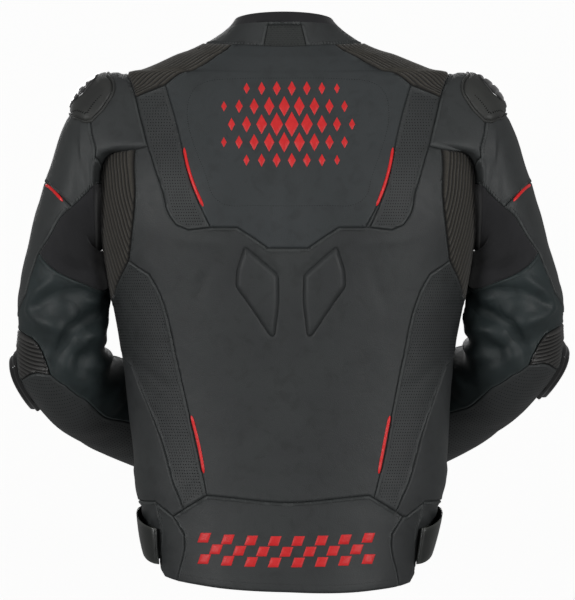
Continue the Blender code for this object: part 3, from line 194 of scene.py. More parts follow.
def hermite(rows, at):
    xs, ys = rows[:, 0], rows[:, 1:]
    slope = np.gradient(ys, xs, axis=0)
    at = np.clip(at, xs[0], xs[-1])
    i = np.clip(np.searchsorted(xs, at, side="right") - 1, 0, len(xs) - 2)
    h = (xs[i + 1] - xs[i])[:, None]
    t = (at[:, None] - xs[i][:, None]) / h
    return (
        (2 * t**3 - 3 * t**2 + 1) * ys[i] + (t**3 - 2 * t**2 + t) * h * slope[i]
        + (-2 * t**3 + 3 * t**2) * ys[i + 1] + (t**3 - t**2) * h * slope[i + 1]
    )


def body(u, v):
    turn = u / torsoTurn
    high, half, back, front, square, shift, twist, scoop = hermite(bodyRings, v).T
    c, s = np.cos(turn), np.sin(turn)
    depth = np.where(c > 0, back, front)
    reach = ((np.abs(c) / depth) ** square + (np.abs(s) / half) ** square) ** (-1 / square)
    for around, row, wide, tall, height in bodyForm:
        reach = reach + height * bump(np.degrees(turn), around, wide) * bump(v, row, tall)
    neck = steps((v + 200) / (neckRow + 200))
    dip = -5 * neck * np.clip(c, 0, 1) ** 2 - scoop * np.clip(-c, 0, 1) ** 1.6
    dip = dip + 0.025 * half * s * steps((-570 - v) / 60)
    return np.stack([reach * s + shift + twist * c, reach * c, high + dip], axis=1)


collarHigh = 40.0    # layout height of the collar, seam to top edge
collarTop = {"half": 57, "back": 52, "front": 50, "shift": 5, "rise": 29, "backRise": 12, "frontDrop": 1.5,
             "bow": 0.8}


def collar(u, w):
    v = w / collarHigh
    base = body(u, np.full_like(u, neckRow))
    turn = u / torsoTurn
    c, s = np.cos(turn), np.sin(turn)
    behind, ahead = np.clip(c, 0, 1), np.clip(-c, 0, 1)
    high = collarTop["rise"] + collarTop["backRise"] * behind ** 1.5 - collarTop["frontDrop"] * ahead
    depth = np.where(c > 0, collarTop["back"] * c, collarTop["front"] * c)
    top = np.stack([collarTop["half"] * s + collarTop["shift"], depth, base[:, 2] + high], axis=1)
    bow = (np.sin(np.pi * np.clip(v, 0, 1))
           * collarTop["bow"])[:, None] * np.stack([s, c, np.zeros_like(s)], axis=1)
    lean = (1 - (1 - np.clip(v, 0, 1)) ** 1.5)[:, None]
    flat = base[:, :2] * (1 - lean) + top[:, :2] * lean
    rise = base[:, 2:] * (1 - v[:, None]) + top[:, 2:] * v[:, None]
    return np.concatenate([flat, rise], axis=1) + bow


def sampled(surface, us, vs):
    u, v = [a.ravel() for a in np.meshgrid(us, vs)]
    p = surface(u, v)
    n = np.cross(surface(u, v + 0.5) - p, surface(u + 0.5, v) - p)
    return u, v, p, unit(n)


def locate(surface, samples, x, z, facing):
    # layout place that shows at x, z from behind (facing 1) or from the front (-1)
    us, vs, points, normals = samples
    miss = (points[:, 0] - x) ** 2 + (points[:, 2] - z) ** 2
    i = int(np.argmin(miss + np.where(normals[:, 1] * facing > 0.04, 0, 1e6)))
    at = np.array([us[i], vs[i]])
    for _ in range(12):
        trial = surface(np.array([at[0], at[0] + 0.05, at[0]]),
                        np.array([at[1], at[1], at[1] + 0.05]))[:, [0, 2]]
        slope = np.stack([trial[1] - trial[0], trial[2] - trial[0]], axis=1) / 0.05
        if abs(np.linalg.det(slope)) < 0.02:
            break
        at = at + np.clip(np.linalg.solve(slope, np.array([x, z]) - trial[0]), -6, 6)
    found = surface(at[:1], at[1:])[0]
    if math.hypot(found[0] - x, found[2] - z) > 1.5:
        at = np.array([us[i], vs[i]])
    return float(at[0]), float(at[1])


bodySamples = sampled(body, np.linspace(-math.pi, math.pi, 181) * torsoTurn, np.linspace(-665, neckRow, 190))


def bodyPlace(kind, a, b):
    if kind == "ring":
        return math.radians(a) * torsoTurn, float(b)
    return locate(body, bodySamples, a, b, 1 if kind == "back" else -1)


# Left armhole: degrees round the sleeve, how it is given, then x, z or degrees, row
armholeTable = (
    (0, "ring", 90, -30), (13, "back", 186.0, -37), (25, "back", 183.0, -44),
    (45, "back", 178.0, -59), (60, "back", 171.0, -88), (73, "back", 163.5, -117),
    (77, "back", 178.0, -120.5), (80, "back", 191.0, -122), (84, "back", 203.0, -123),
    (90, "back", 212.0, -130), (97, "back", 217.0, -145), (104, "ring", 78.5, -160),
    (118, "ring", 79.5, -184), (134, "ring", 82.0, -208), (155, "ring", 86.5, -227),
    (180, "ring", 91.0, -236), (196, "front", 214.5, -233), (212, "front", 206.0, -224),
    (232, "front", 189.0, -203), (252, "front", 171.0, -175), (274, "front", 160.0, -141),
    (294, "front", 162.0, -106), (315, "front", 172.0, -70), (338, "front", 182.0, -49),
    (360, "ring", 90, -30),
)
armholeCorners = [73, 77]    # the seam turns sharply here
edgeStep = 4.0               # spacing of points on a seam


def denseArmhole():
    turns = [row[0] for row in armholeTable]
    places = np.array([bodyPlace(*row[1:]) for row in armholeTable[:-1]])
    count = len(places)
    dense, denseTurns = [], []
    for i in range(count):
        a, b = places[i], places[(i + 1) % count]
        before, after = places[i - 1], places[(i + 2) % count]
        start = b - a if turns[i] in armholeCorners else (b - before) / 2
        end = b - a if turns[i + 1] in armholeCorners else (after - a) / 2
        size = np.linalg.norm(b - a)
        start, end = (d / np.linalg.norm(d) * size for d in (start, end))
        parts = max(2, int(round(size / edgeStep)))
        for k in range(parts):
            t = k / parts
            dense.append((2 * t**3 - 3 * t**2 + 1) * a + (t**3 - 2 * t**2 + t) * start
                         + (-2 * t**3 + 3 * t**2) * b + (t**3 - t**2) * end)
            denseTurns.append(turns[i] + (turns[i + 1] - turns[i]) * t)
    return np.array(denseTurns + [360.0]), np.array(dense)


armholeTurns, armholeLayout = denseArmhole()
closedHole = np.concatenate([armholeLayout, armholeLayout[:1]])
armholeLeft = body(closedHole[:, 0], closedHole[:, 1])
armholeRight = body(-closedHole[:, 0], closedHole[:, 1]) * np.array([-1.0, 1.0, 1.0])

# Sleeve stations, left: row, centre x y z, direction x y z, outward half width, fore-aft half width
sleeveStations = np.array([
    (26, 226, 1, -142, 0.998, 0.00, -0.061, 98, 69),
    (62, 239, 1, -165, 0.971, 0.00, -0.237, 79.5, 67),
    (106, 256, 2, -205, 0.736, 0.00, -0.677, 49, 64),
    (150, 262.3, 1, -247, 0.081, -0.05, -0.990, 46, 62),
    (200, 262.6, -2, -292, 0.000, -0.10, -0.995, 54.5, 61),
    (240, 265, -9, -330, -0.030, -0.22, -0.970, 51.5, 60),
    (284, 264, -22, -370, -0.240, -0.50, -0.830, 55, 59),
    (324, 246, -53, -400, -0.500, -0.70, -0.510, 52, 56),
    (362, 219, -86, -417, -0.620, -0.69, -0.370, 55, 53),
    (400, 184, -125, -437, -0.620, -0.69, -0.370, 53.5, 49.5),
    (430, 152, -160, -456, -0.620, -0.69, -0.370, 48.5, 46),
    (462, 112, -205, -480, -0.620, -0.69, -0.370, 41, 42),
    (500, 92, -227, -492, -0.620, -0.69, -0.370, 39, 40),
], float)

# Largest folds of a sleeve: degrees, row, degrees, row, half breadth, height
sleeveFolds = (
    (150, 262, 215, 292, 9, -5.0), (140, 282, 205, 312, 7, 4.0), (128, 306, 200, 330, 8, -5.5),
    (112, 326, 190, 352, 7, 3.5), (100, 350, 170, 372, 8, -4.0), (235, 255, 300, 285, 9, -5.0),
    (230, 285, 300, 300, 8, 4.0), (225, 308, 295, 318, 8, -5.0), (70, 222, 120, 236, 9, 3.0),
    (60, 245, 135, 262, 8, -3.0),
)


def foldHeights(u, v, folds, turnSize):
    # sum of soft ridges and troughs; each runs along a line and dies away at its ends
    out = np.zeros_like(u)
    for t0, r0, t1, r1, breadth, height in folds:
        for extra in (-360, 0, 360):
            ax, bx = ((t + extra) * turnSize * math.pi / 180 for t in (t0, t1))
            dx, dy = bx - ax, r1 - r0
            along = ((u - ax) * dx + (v - r0) * dy) / (dx * dx + dy * dy)
            k = np.clip(along, 0, 1)
            far = np.hypot(u - ax - k * dx, v - r0 - k * dy)
            fade = 0.35 + 0.65 * np.sin(np.pi * np.clip(along * 0.9 + 0.05, 0, 1))
            out += height * np.exp(-((far / breadth) ** 2)) * fade
    return out


# The sleeve's rises: under the shoulder cap, at its tab, below the cap between two rows, and at the back
crownHigh = 6.5
tabHigh = 2.0
swellHigh, swellFrom, swellEnds = 4.8, 50, 70
rearSwell = {"high": 3.2, "turn": 160, "spread": 62, "fullFrom": 14.0, "ends": 205, "fade": 45}
# How far the sleeves' inner sides lie out towards the body: amount, row, spread along the sleeve
innerLeft = ((4.9, 136, 34), (2.9, 206, 20), (10.2, 114, 19))
innerRight = ((5.6, 140, 45), (13.0, 238, 46), (9.4, 116, 19))


def sleeveLeft(u, v, lifted=0.0, outward=0.0, opening=armholeLeft, inner=innerLeft):
    turns = np.mod(np.degrees(u / sleeveTurn), 360)
    first = np.stack([np.interp(turns, armholeTurns, opening[:, k]) for k in range(3)], axis=1)
    angle = np.radians(turns)
    rings = [first]
    for row in sleeveStations:
        centre, d, ru, rv = row[1:4], row[4:7] / np.linalg.norm(row[4:7]), row[7], row[8]
        side = np.array([-d[2], 0, d[0]])
        side = side / np.linalg.norm(side)
        behind = np.cross(side, d)
        rings.append(centre + ru * np.cos(angle)[:, None] * side + rv * np.sin(angle)[:, None] * behind)
    rings = np.stack(rings)
    xs = np.concatenate([[0.0], sleeveStations[:, 0]])
    slope = np.gradient(rings, xs, axis=0)
    slope[0] = (rings[1] - rings[0]) / (xs[1] - xs[0])
    at = np.clip(v, 0, xs[-1])
    i = np.clip(np.searchsorted(xs, at, side="right") - 1, 0, len(xs) - 2)
    h = (xs[i + 1] - xs[i])[:, None]
    t = (at - xs[i])[:, None] / h
    n = np.arange(len(u))
    p = (
        (2 * t**3 - 3 * t**2 + 1) * rings[i, n] + (t**3 - 2 * t**2 + t) * h * slope[i, n]
        + (-2 * t**3 + 3 * t**2) * rings[i + 1, n] + (t**3 - t**2) * h * slope[i + 1, n]
    )
    middle = np.stack([np.interp(v, sleeveStations[:, 0], sleeveStations[:, 1 + k]) for k in range(3)],
                      axis=1)
    away = p - middle
    away = away / np.maximum(np.linalg.norm(away, axis=1), 1e-6)[:, None]
    around = (turns + 180) % 360 - 180
    crown = crownHigh * bump(v, 11, 9) * bump(around, 0, 42) * steps(v / 8)
    tab = tabHigh * bump(turns, 84, 20) * bump(v, 12, 10) * steps(v / 6)
    swell = swellHigh * bump(around, 0, 58) * steps((v - swellFrom) / 14) * (1 - steps((v - swellEnds) / 22))
    folds = foldHeights(np.radians(turns) * sleeveTurn, v, sleeveFolds, sleeveTurn) * steps((v - 30) / 60)
    p = p + away * (folds + crown + tab + swell)[:, None]
    p[:, 2] += lifted * bump(v, 312, 88) * steps(v / 120)
    p[:, 0] += outward * bump(v, 222, 62) * steps(v / 90)
    rear = rearSwell["high"] * bump(turns, rearSwell["turn"], rearSwell["spread"])
    p[:, 0] += rear * steps(v / rearSwell["fullFrom"]) * (1 - steps((v - rearSwell["ends"])
                                                                    / rearSwell["fade"]))
    for amount, row, breadth in inner:
        p[:, 0] -= amount * bump(turns, 183, 48) * bump(v, row, breadth)
    return p


rightLifted, rightOutward = 14.0, 6.5    # the right arm's bend sits higher and further out


def sleeveRight(u, v):
    return sleeveLeft(u, v, rightLifted, rightOutward, armholeRight, innerRight) * np.array([-1.0, 1.0, 1.0])


sleeveSamples = sampled(sleeveLeft, np.linspace(0, 2 * math.pi, 145) * sleeveTurn, np.linspace(2, 495, 150))


def sleevePlace(kind, a, b):
    if kind == "turn":
        return math.radians(a) * sleeveTurn, float(b)
    return locate(sleeveLeft, sleeveSamples, a, b, 1)


# Panels, topmost first; each corner is x, z seen from behind or in front, or degrees and row
yoke = (
    ("back", 178, -59), ("back", 143, -45), ("back", 109, -27), ("ring", 52, neckRow),
    ("ring", 52, 80), ("ring", 118, 80), ("ring", 118, neckRow), ("front", 128, -46),
    ("front", 172, -70), ("ring", 96, -66), ("ring", 82, -52),
)
backPerforated = (
    ("back", 152, -32), ("back", 143, -46), ("back", 124, -115), ("back", 97, -198), ("back", 90, -212),
    ("back", 116, -215), ("back", 130, -209), ("back", 139, -196), ("back", 146, -170),
    ("back", 158, -133), ("back", 163.5, -117), ("ring", 76, -100), ("ring", 78, -58),
)
backUpper = (
    ("back", 90, -212), ("back", 59, -212), ("back", 23, -236), ("back", -23, -236),
    ("back", -59, -212), ("back", -90, -212), ("back", -112, -170), ("back", -152, -50),
    ("ring", -66, -10), ("ring", -60, 80), ("ring", 60, 80), ("ring", 66, -10), ("back", 152, -50),
    ("back", 112, -170),
)
sideRib = (
    ("back", 178, -120.5), ("back", 178, -168), ("back", 180, -202), ("back", 184, -238),
    ("back", 186, -250), ("back", 192, -262), ("back", 203, -291), ("ring", 92, -300),
    ("ring", 97, -288), ("ring", 99, -262), ("front", 206, -224), ("ring", 84, -190), ("ring", 76, -105),
)
sidePerforated = (
    ("back", 186, -250), ("back", 162, -266), ("back", 153, -281), ("back", 144, -303), ("back", 130, -364),
    ("back", 116, -425), ("back", 105, -475), ("back", 95, -523), ("back", 92, -545), ("back", 120, -552),
    ("back", 122, -540.3), ("back", 136, -502),
    ("back", 151, -451), ("back", 168, -409), ("back", 183, -373), ("ring", 92, -352), ("ring", 96, -315),
    ("ring", 97, -288), ("ring", 92, -290),
)
hemBack = (
    ("back", 134, -548), ("back", 95, -523), ("back", 0, -531), ("back", -95, -523), ("back", -134, -548),
    ("back", -121, -569), ("back", -121, -588), ("back", -128, -618), ("back", -130, -665),
    ("back", 130, -665), ("back", 128, -618), ("back", 121, -588), ("back", 121, -569),
)
hemSide = (
    ("back", 134, -548), ("back", 155, -531), ("back", 148, -562), ("back", 149.5, -600),
    ("back", 149.5, -665),
    ("back", 100, -665), ("back", 100, -580), ("back", 118, -548),
)
gusset = (
    ("back", 155, -531), ("ring", 80, -531), ("ring", 119, -531), ("ring", 119, -665), ("ring", 50, -665),
    ("back", 140, -600),
)
sidePanel = (
    ("back", 116, -530), ("back", 118, -548), ("back", 134, -560), ("back", 150, -550), ("ring", 70, -545),
    ("ring", 119, -545), ("ring", 119, -531), ("ring", 116, -420), ("ring", 114, -300), ("front", 189, -203),
    ("ring", 88, -230), ("ring", 90, -300), ("back", 164, -320), ("back", 148, -364), ("back", 134, -425),
)
zipStrip = (
    ("ring", 174.6, -665), ("ring", 174.6, -120), ("ring", 171.5, 0), ("ring", 170, neckRow),
    ("ring", 170, 80),
    ("ring", 190, 80), ("ring", 190, neckRow), ("ring", 188.5, 0), ("ring", 185.4, -120),
    ("ring", 185.4, -665),
)
front = (
    ("ring", 119, -665), ("ring", 119, -531), ("ring", 116, -420), ("ring", 114, -300), ("front", 189, -203),
    ("ring", 80, -100), ("ring", 80, 0), ("ring", 80, 80), ("ring", 182, 80), ("ring", 182, -665),
)
hemLine = (
    ("back", 0, -635), ("back", 27, -634.2), ("back", 54, -632.8), ("back", 80, -630.6), ("back", 106, -627),
    ("back", 130, -622.8), ("back", 144, -618.5), ("back", 149, -610), ("back", 149.5, -600),
    ("back", 153, -595),
    ("ring", 84, -590), ("ring", 103, -585), ("ring", 119, -581), ("ring", 135, -577), ("ring", 150, -574),
    ("ring", 164, -572), ("ring", 174.6, -571), ("ring", 180, -571),
)


def mirrored(polygon):
    return [(-u, v) for u, v in polygon][::-1]


def bodyPolygon(table):
    return [bodyPlace(*row) for row in table]


def bothSides(name, table):
    left = bodyPolygon(table)
    return [(name + "_left", left), (name + "_right", mirrored(left))]


hemHalf = bodyPolygon(hemLine)
below = (mirrored(hemHalf)[:-1] + hemHalf) + [(math.pi * torsoTurn, -700), (-math.pi * torsoTurn, -700)]
armholePolygon = [tuple(p) for p in armholeLayout]
bodyPanels = (
    [("armhole", armholePolygon), ("armhole", mirrored(armholePolygon)), ("outside", below)]
    + [("zip_tape", bodyPolygon(zipStrip))] + bothSides("shoulder_yoke", yoke)
    + bothSides("back_perforated", backPerforated) + bothSides("side_rib", sideRib)
    + [("hem_back", bodyPolygon(hemBack))] + bothSides("hem_side", hemSide) + bothSides("hem_gusset", gusset)
    + bothSides("side_perforated", sidePerforated) + [("back_upper", bodyPolygon(backUpper))]
    + bothSides("side_panel", sidePanel) + bothSides("front", front)
)

cuff = (("turn", -30, 436), ("turn", 390, 436), ("turn", 390, 520), ("turn", -30, 520))
head = (
    ("turn", 97, 0), ("turn", 84, 22), ("turn", 66, 26), ("turn", 40, 27), ("turn", 0, 28),
    ("turn", -40, 27), ("turn", -66, 24), ("turn", -86, 0), ("turn", -86, -20), ("turn", 97, -20),
)
upperOuter = (
    ("turn", 104, 0), ("back", 238, -175), ("back", 252, -188), ("back", 268, -186), ("turn", 4, 110),
    ("turn", -30, 110), ("turn", -48, 100), ("turn", -66, 97), ("turn", -66, 24), ("turn", -60, 10),
    ("turn", 80, 5),
    ("turn", 104, -20),
)
outerNarrow = (
    ("back", 252, -188), ("back", 264, -198), ("back", 277, -220), ("back", 291, -241), ("back", 300, -265),
    ("back", 307, -290), ("turn", 4, 226), ("turn", -22, 208), ("turn", -40, 150), ("turn", -48, 100),
    ("turn", -30, 101), ("turn", 4, 100), ("turn", 22, 99), ("turn", 38, 98.4), ("back", 262, -178),
)
underarm = (
    ("back", 252, -188), ("back", 264, -198), ("back", 277, -220), ("back", 291, -241), ("back", 279, -256),
    ("back", 264, -266), ("back", 240, -276), ("turn", 150, 189), ("turn", 180, 188), ("turn", 212, 176),
    ("turn", 212, 90), ("turn", 208, 62), ("turn", 196, 0), ("turn", 196, -20), ("turn", 104, -20),
    ("turn", 104, 0), ("back", 238, -175),
)
accordion = (
    ("turn", -34, 240), ("turn", 4, 238), ("back", 305, -338), ("back", 296, -344), ("back", 288, -356),
    ("back", 282, -371), ("back", 278, -384), ("back", 296, -382), ("turn", 17, 282), ("turn", 14, 261),
    ("turn", -34, 257),
)
forearmPerforated = (
    ("back", 278, -384), ("back", 259, -398), ("back", 237, -414), ("back", 207, -437), ("turn", 100, 436),
    ("turn", 100, 520), ("turn", -44, 520), ("turn", -44, 436), ("turn", -50, 360), ("turn", -64, 310),
    ("turn", -64, 268), ("turn", -34, 252), ("turn", 10, 252), ("back", 296, -376),
)
frontUpper = (
    ("turn", 196, -20), ("turn", 196, 0), ("turn", 208, 62), ("turn", 212, 90), ("turn", 212, 176),
    ("turn", 256, 172),
    ("turn", 306, 184), ("turn", 332, 196), ("turn", 332, 92), ("turn", 300, 80), ("turn", 300, 24),
    ("turn", 274, 0), ("turn", 274, -20),
)
forearmInner = (
    ("turn", 150, 520), ("turn", 150, 436), ("turn", 158, 392), ("turn", 176, 352), ("turn", 215, 330),
    ("turn", 262, 318), ("turn", 296, 300), ("turn", 330, 300), ("turn", 330, 520),
)
sleeveTables = (
    ("cuff", cuff), ("sleeve_head", head), ("elbow_ribs", accordion), ("underarm", underarm),
    ("sleeve_outer", outerNarrow), ("sleeve_upper", upperOuter), ("forearm_perforated", forearmPerforated),
    ("sleeve_front", frontUpper), ("forearm_inner", forearmInner),
)
capOutline = (
    ("turn", 10, 12.5), ("turn", 24, 10.5), ("turn", 38, 11.5), ("turn", 50, 17.5), ("turn", 57.5, 25.5),
    ("turn", 54.5, 32.5), ("turn", 43, 43), ("turn", 31, 52), ("turn", 14, 57), ("turn", -6, 58.5),
    ("turn", -26, 56),
    ("turn", -42, 46), ("turn", -52, 34), ("turn", -54.5, 26), ("turn", -47, 17), ("turn", -34, 11.5),
    ("turn", -14, 11),
)
sliderOutline = (
    ("turn", 9, 271), ("turn", 12, 284), ("turn", 11, 301), ("turn", 3, 313), ("turn", -18, 318),
    ("turn", -38, 313),
    ("turn", -52, 299), ("turn", -55, 282), ("turn", -46, 271), ("turn", -24, 267), ("turn", -4, 267),
)
padTable = ((50.5, -234), (11, -267.5), (10.7, -300), (15.5, -338.5), (20.5, -338.5), (60.5, -281),
            (59.5, -262))
print("form and cut ready")

# Fine meshes of the cloth
cloth = {
    "grid": 4.6, "sharpCorner": 27.0, "besideSeam": (0.75, 1.5, 2.8, 3.7, 5.2, 7.8), "clearOfSeam": 10.0,
    "grooveDeep": 1.1, "grooveWide": 0.75, "weltHigh": 0.75, "besideWelt": 0.2, "smallest": 70.0,
}


def inside(polygon, points):
    poly = np.asarray(polygon, float)
    hit = np.zeros(len(points), bool)
    low, high = poly.min(axis=0), poly.max(axis=0)
    near = np.nonzero(((points >= low) & (points <= high)).all(axis=1))[0]
    if not len(near):
        return hit
    x, y = points[near, 0], points[near, 1]
    found = np.zeros(len(near), bool)
    for (x0, y0), (x1, y1) in zip(poly, np.roll(poly, -1, axis=0)):
        if y0 == y1:
            continue
        cross = (y0 > y) != (y1 > y)
        found ^= cross & (x < (x1 - x0) * (y - y0) / (y1 - y0) + x0)
    hit[near] = found
    return hit


def metric(surface, points):
    p = surface(points[:, 0], points[:, 1])
    across = np.linalg.norm(surface(points[:, 0] + 0.5, points[:, 1]) - p, axis=1) * 2
    along = np.linalg.norm(surface(points[:, 0], points[:, 1] + 0.5) - p, axis=1) * 2
    return np.maximum(np.stack([across, along], axis=1), 0.05)


def outward(surface, u, v):
    p = surface(u, v)
    n = np.cross(surface(u, v + 0.4) - p, surface(u + 0.4, v) - p)
    n = unit(n)
    return n * (-1.0 if surface is sleeveRight else 1.0)


def distances(tree, points):
    return np.array([tree.find(p)[2] for p in points])


def treeOf(points):
    tree = kdtree.KDTree(len(points))
    for i, p in enumerate(points):
        tree.insert(p, i)
    tree.balance()
    return tree


def smoothEdge(a, b, before, after, sharp, surface, step):
    # one edge of an outline as a curve; a sharp corner keeps its own direction
    def direction(prev, mid, nxt):
        one, two = mid - prev, nxt - mid
        one, two = one / max(np.hypot(*one), 1e-9), two / max(np.hypot(*two), 1e-9)
        turned = math.degrees(math.acos(np.clip(one @ two, -1, 1)))
        return None if turned > sharp else (one + two) / max(np.hypot(*(one + two)), 1e-9)
    size = np.hypot(*(b - a))
    straight = (b - a) / max(size, 1e-9)
    start, end = direction(before, a, b), direction(a, b, after)
    start = (straight if start is None else start) * size
    end = (straight if end is None else end) * size
    ends = surface(np.array([a[0], b[0]]), np.array([a[1], b[1]]))
    parts = max(1, int(round(np.linalg.norm(ends[1] - ends[0]) / step)))
    t = (np.arange(parts + 1) / parts)[:, None]
    return ((2 * t**3 - 3 * t**2 + 1) * a + (t**3 - 2 * t**2 + t) * start
            + (-2 * t**3 + 3 * t**2) * b + (t**3 - t**2) * end)


def smoothOutline(surface, polygon, step, known, sharp=cloth["sharpCorner"]):
    # an edge that two panels share gets one curve
    poly = np.asarray(polygon, float)
    out = []
    for i in range(len(poly)):
        a, b = poly[i], poly[(i + 1) % len(poly)]
        key = tuple(np.round([*a, *b], 3))
        back = tuple(np.round([*b, *a], 3))
        if key not in known and back not in known:
            known[key] = smoothEdge(a, b, poly[i - 1], poly[(i + 2) % len(poly)], sharp, surface, step)
        curve = known[key] if key in known else known[back][::-1]
        out += [tuple(p) for p in curve[:-1]]
    return out


class Cut:
    # one surface cut into panels

    def __init__(self, surface, panels, base, bounds, wrap, step=edgeStep):
        self.surface, self.base, self.bounds, self.wrap = surface, base, bounds, wrap
        known = {}
        self.panels = []
        for name, polygon in panels:
            dense = polygon if name == "armhole" else smoothOutline(surface, polygon, step, known)
            for k in (-1, 0, 1):
                moved = np.asarray(dense, float) + [k * wrap, 0]
                if moved[:, 0].max() > bounds[0] and moved[:, 0].min() < bounds[1]:
                    self.panels.append((name, moved))
        self.segments, self.free, self.seamRuns, self.edgeRuns = [], [], [], []

    def label(self, points):
        points = np.asarray(points, float)
        names = np.full(len(points), self.base, dtype=object)
        left = np.arange(len(points))
        for name, polygon in self.panels:
            hit = inside(polygon, points[left])
            names[left[hit]] = name
            left = left[~hit]
        return names

    def clipped(self, a, b):
        u0, u1, v0, v1 = self.bounds
        for axis, limit, sign in ((0, u0, 1), (0, u1, -1), (1, v0, 1), (1, v1, -1)):
            fa, fb = sign * (a[axis] - limit), sign * (b[axis] - limit)
            if fa < -1e-6 and fb < -1e-6:
                return None
            if fa < -1e-6 or fb < -1e-6:
                cut = a + (b - a) * (fa / (fa - fb))
                cut[axis] = limit
                a, b = (cut, b) if fa < 0 else (a, cut)
        return (a, b) if np.hypot(*(b - a)) > 1e-4 else None

    def addSeams(self):
        kept, owner = [], []
        for number, (_, polygon) in enumerate(self.panels):
            for a, b in zip(polygon, np.roll(polygon, -1, axis=0)):
                pair = self.clipped(np.array(a), np.array(b))
                if pair is not None:
                    kept.append(pair)
                    owner.append(number)
        kept = np.array(kept)
        middle, run = kept.mean(axis=1), kept[:, 1] - kept[:, 0]
        side = np.stack([-run[:, 1], run[:, 0]], axis=1) / np.maximum(np.hypot(*run.T), 1e-9)[:, None] * 0.02
        u0, u1, v0, v1 = self.bounds
        one = self.label(np.clip(middle + side, [u0, v0], [u1, v1]))
        two = self.label(np.clip(middle - side, [u0, v0], [u1, v1]))
        last = None
        for i in np.nonzero(one != two)[0]:
            free = "outside" in (one[i], two[i])
            runs = self.edgeRuns if free else self.seamRuns
            a, b = kept[i]
            self.segments.append((a, b))
            if last == (i - 1, owner[i], free):
                runs[-1].append(b)
            else:
                runs.append([a, b])
            last = (i, owner[i], free)

    def addLine(self, points, kind):
        points = [np.array(p, float) for p in points]
        self.segments += list(zip(points[:-1], points[1:]))
        if kind == "seam":
            self.seamRuns.append(points)
        elif kind == "edge":
            self.edgeRuns.append(points)

    def densePoints(self, runs):
        out = []
        for run in runs:
            run = np.array(run)
            p = self.surface(run[:, 0], run[:, 1])
            for a, b in zip(p[:-1], p[1:]):
                parts = max(1, int(np.linalg.norm(b - a) / 0.7))
                out += [a + (b - a) * k / parts for k in range(parts)]
            out.append(p[-1])
        return out

    def addBeside(self, tree, plain, ribbed):
        taken = set()
        runs = self.seamRuns + self.edgeRuns
        a = np.concatenate([np.array(r)[:-1] for r in runs])
        b = np.concatenate([np.array(r)[1:] for r in runs])
        middle = (a + b) / 2
        scale = metric(self.surface, middle)
        run = (b - a) * scale
        side = np.stack([-run[:, 1], run[:, 0]], axis=1) / np.maximum(np.hypot(*run.T), 1e-9)[:, None]
        for index, gap in enumerate(cloth["besideSeam"]):
            for sign in (1, -1):
                spots = middle + side * sign * gap / scale
                u0, u1, v0, v1 = self.bounds
                room = 0.6 / scale
                ok = ((spots > [u0, v0] + room) & (spots < [u1, v1] - room)).all(axis=1)
                spots = spots[ok]
                names = self.label(spots).astype(str)
                ok = ~np.isin(names, plain)
                if index > 0:
                    ok &= ~np.isin(names, ribbed)
                spots = spots[ok]
                if not len(spots):
                    continue
                real = self.surface(spots[:, 0], spots[:, 1])
                far = distances(tree, real)
                for p, q, d in zip(spots, real, far):
                    cell = tuple(np.round(q / 1.3).astype(int))
                    if d > gap * 0.78 and cell not in taken:
                        taken.add(cell)
                        self.free.append(tuple(p))

    def addGrid(self, tree, skip, clear):
        u0, u1, v0, v1 = self.bounds
        grid = cloth["grid"]
        middleU = np.array([(u0 + u1) / 2])
        rowLength = np.linalg.norm(self.surface(middleU, np.array([v1]))
                                   - self.surface(middleU, np.array([v0])))
        rows = max(2, int(round(max(v1 - v0, rowLength) / (grid * 0.87))))
        found = []
        for j in range(1, rows):
            v = v0 + (v1 - v0) * j / rows
            us = np.linspace(u0, u1, 121)
            p = self.surface(us, np.full_like(us, v))
            length = lengthsAlong(p)
            count = max(6, int(round(length[-1] / grid)))
            at = (np.arange(count) + (0.5 if j % 2 else 0.0)) * length[-1] / count
            at = at[(at > grid * 0.4) & (at < length[-1] - grid * 0.4)]
            found += [(u, v) for u in np.interp(at, length, us)]
        found = np.array(found)
        keep = ~np.isin(self.label(found).astype(str), list(skip) + ["armhole", "outside"])
        found = found[keep]
        if len(found):
            far = distances(tree, self.surface(found[:, 0], found[:, 1]))
            found = found[far > clear]
        self.free += [tuple(p) for p in found]

    def mesh(self):
        ids, points, edges = {}, [], []

        def place(p):
            key = (round(float(p[0]), 4), round(float(p[1]), 4))
            if key not in ids:
                ids[key] = len(points)
                points.append(key)
            return ids[key]

        for a, b in self.segments:
            i, j = place(a), place(b)
            if i != j:
                edges.append((i, j))
        for p in self.free:
            place(p)
        verts, _, faces, _, _, _ = delaunay_2d_cdt([Vector(p) for p in points], edges, [], 0, 1e-4)
        flat = np.array([(v[0], v[1]) for v in verts])
        tris = np.array([f for f in faces if len(f) == 3])
        names = self.label(flat[tris].mean(axis=1))
        names = self.mergeSlivers(flat, tris, names)
        keep = ~np.isin(names.astype(str), ["armhole", "outside"])
        return flat, tris[keep], names[keep]

    def mergeSlivers(self, flat, tris, names):
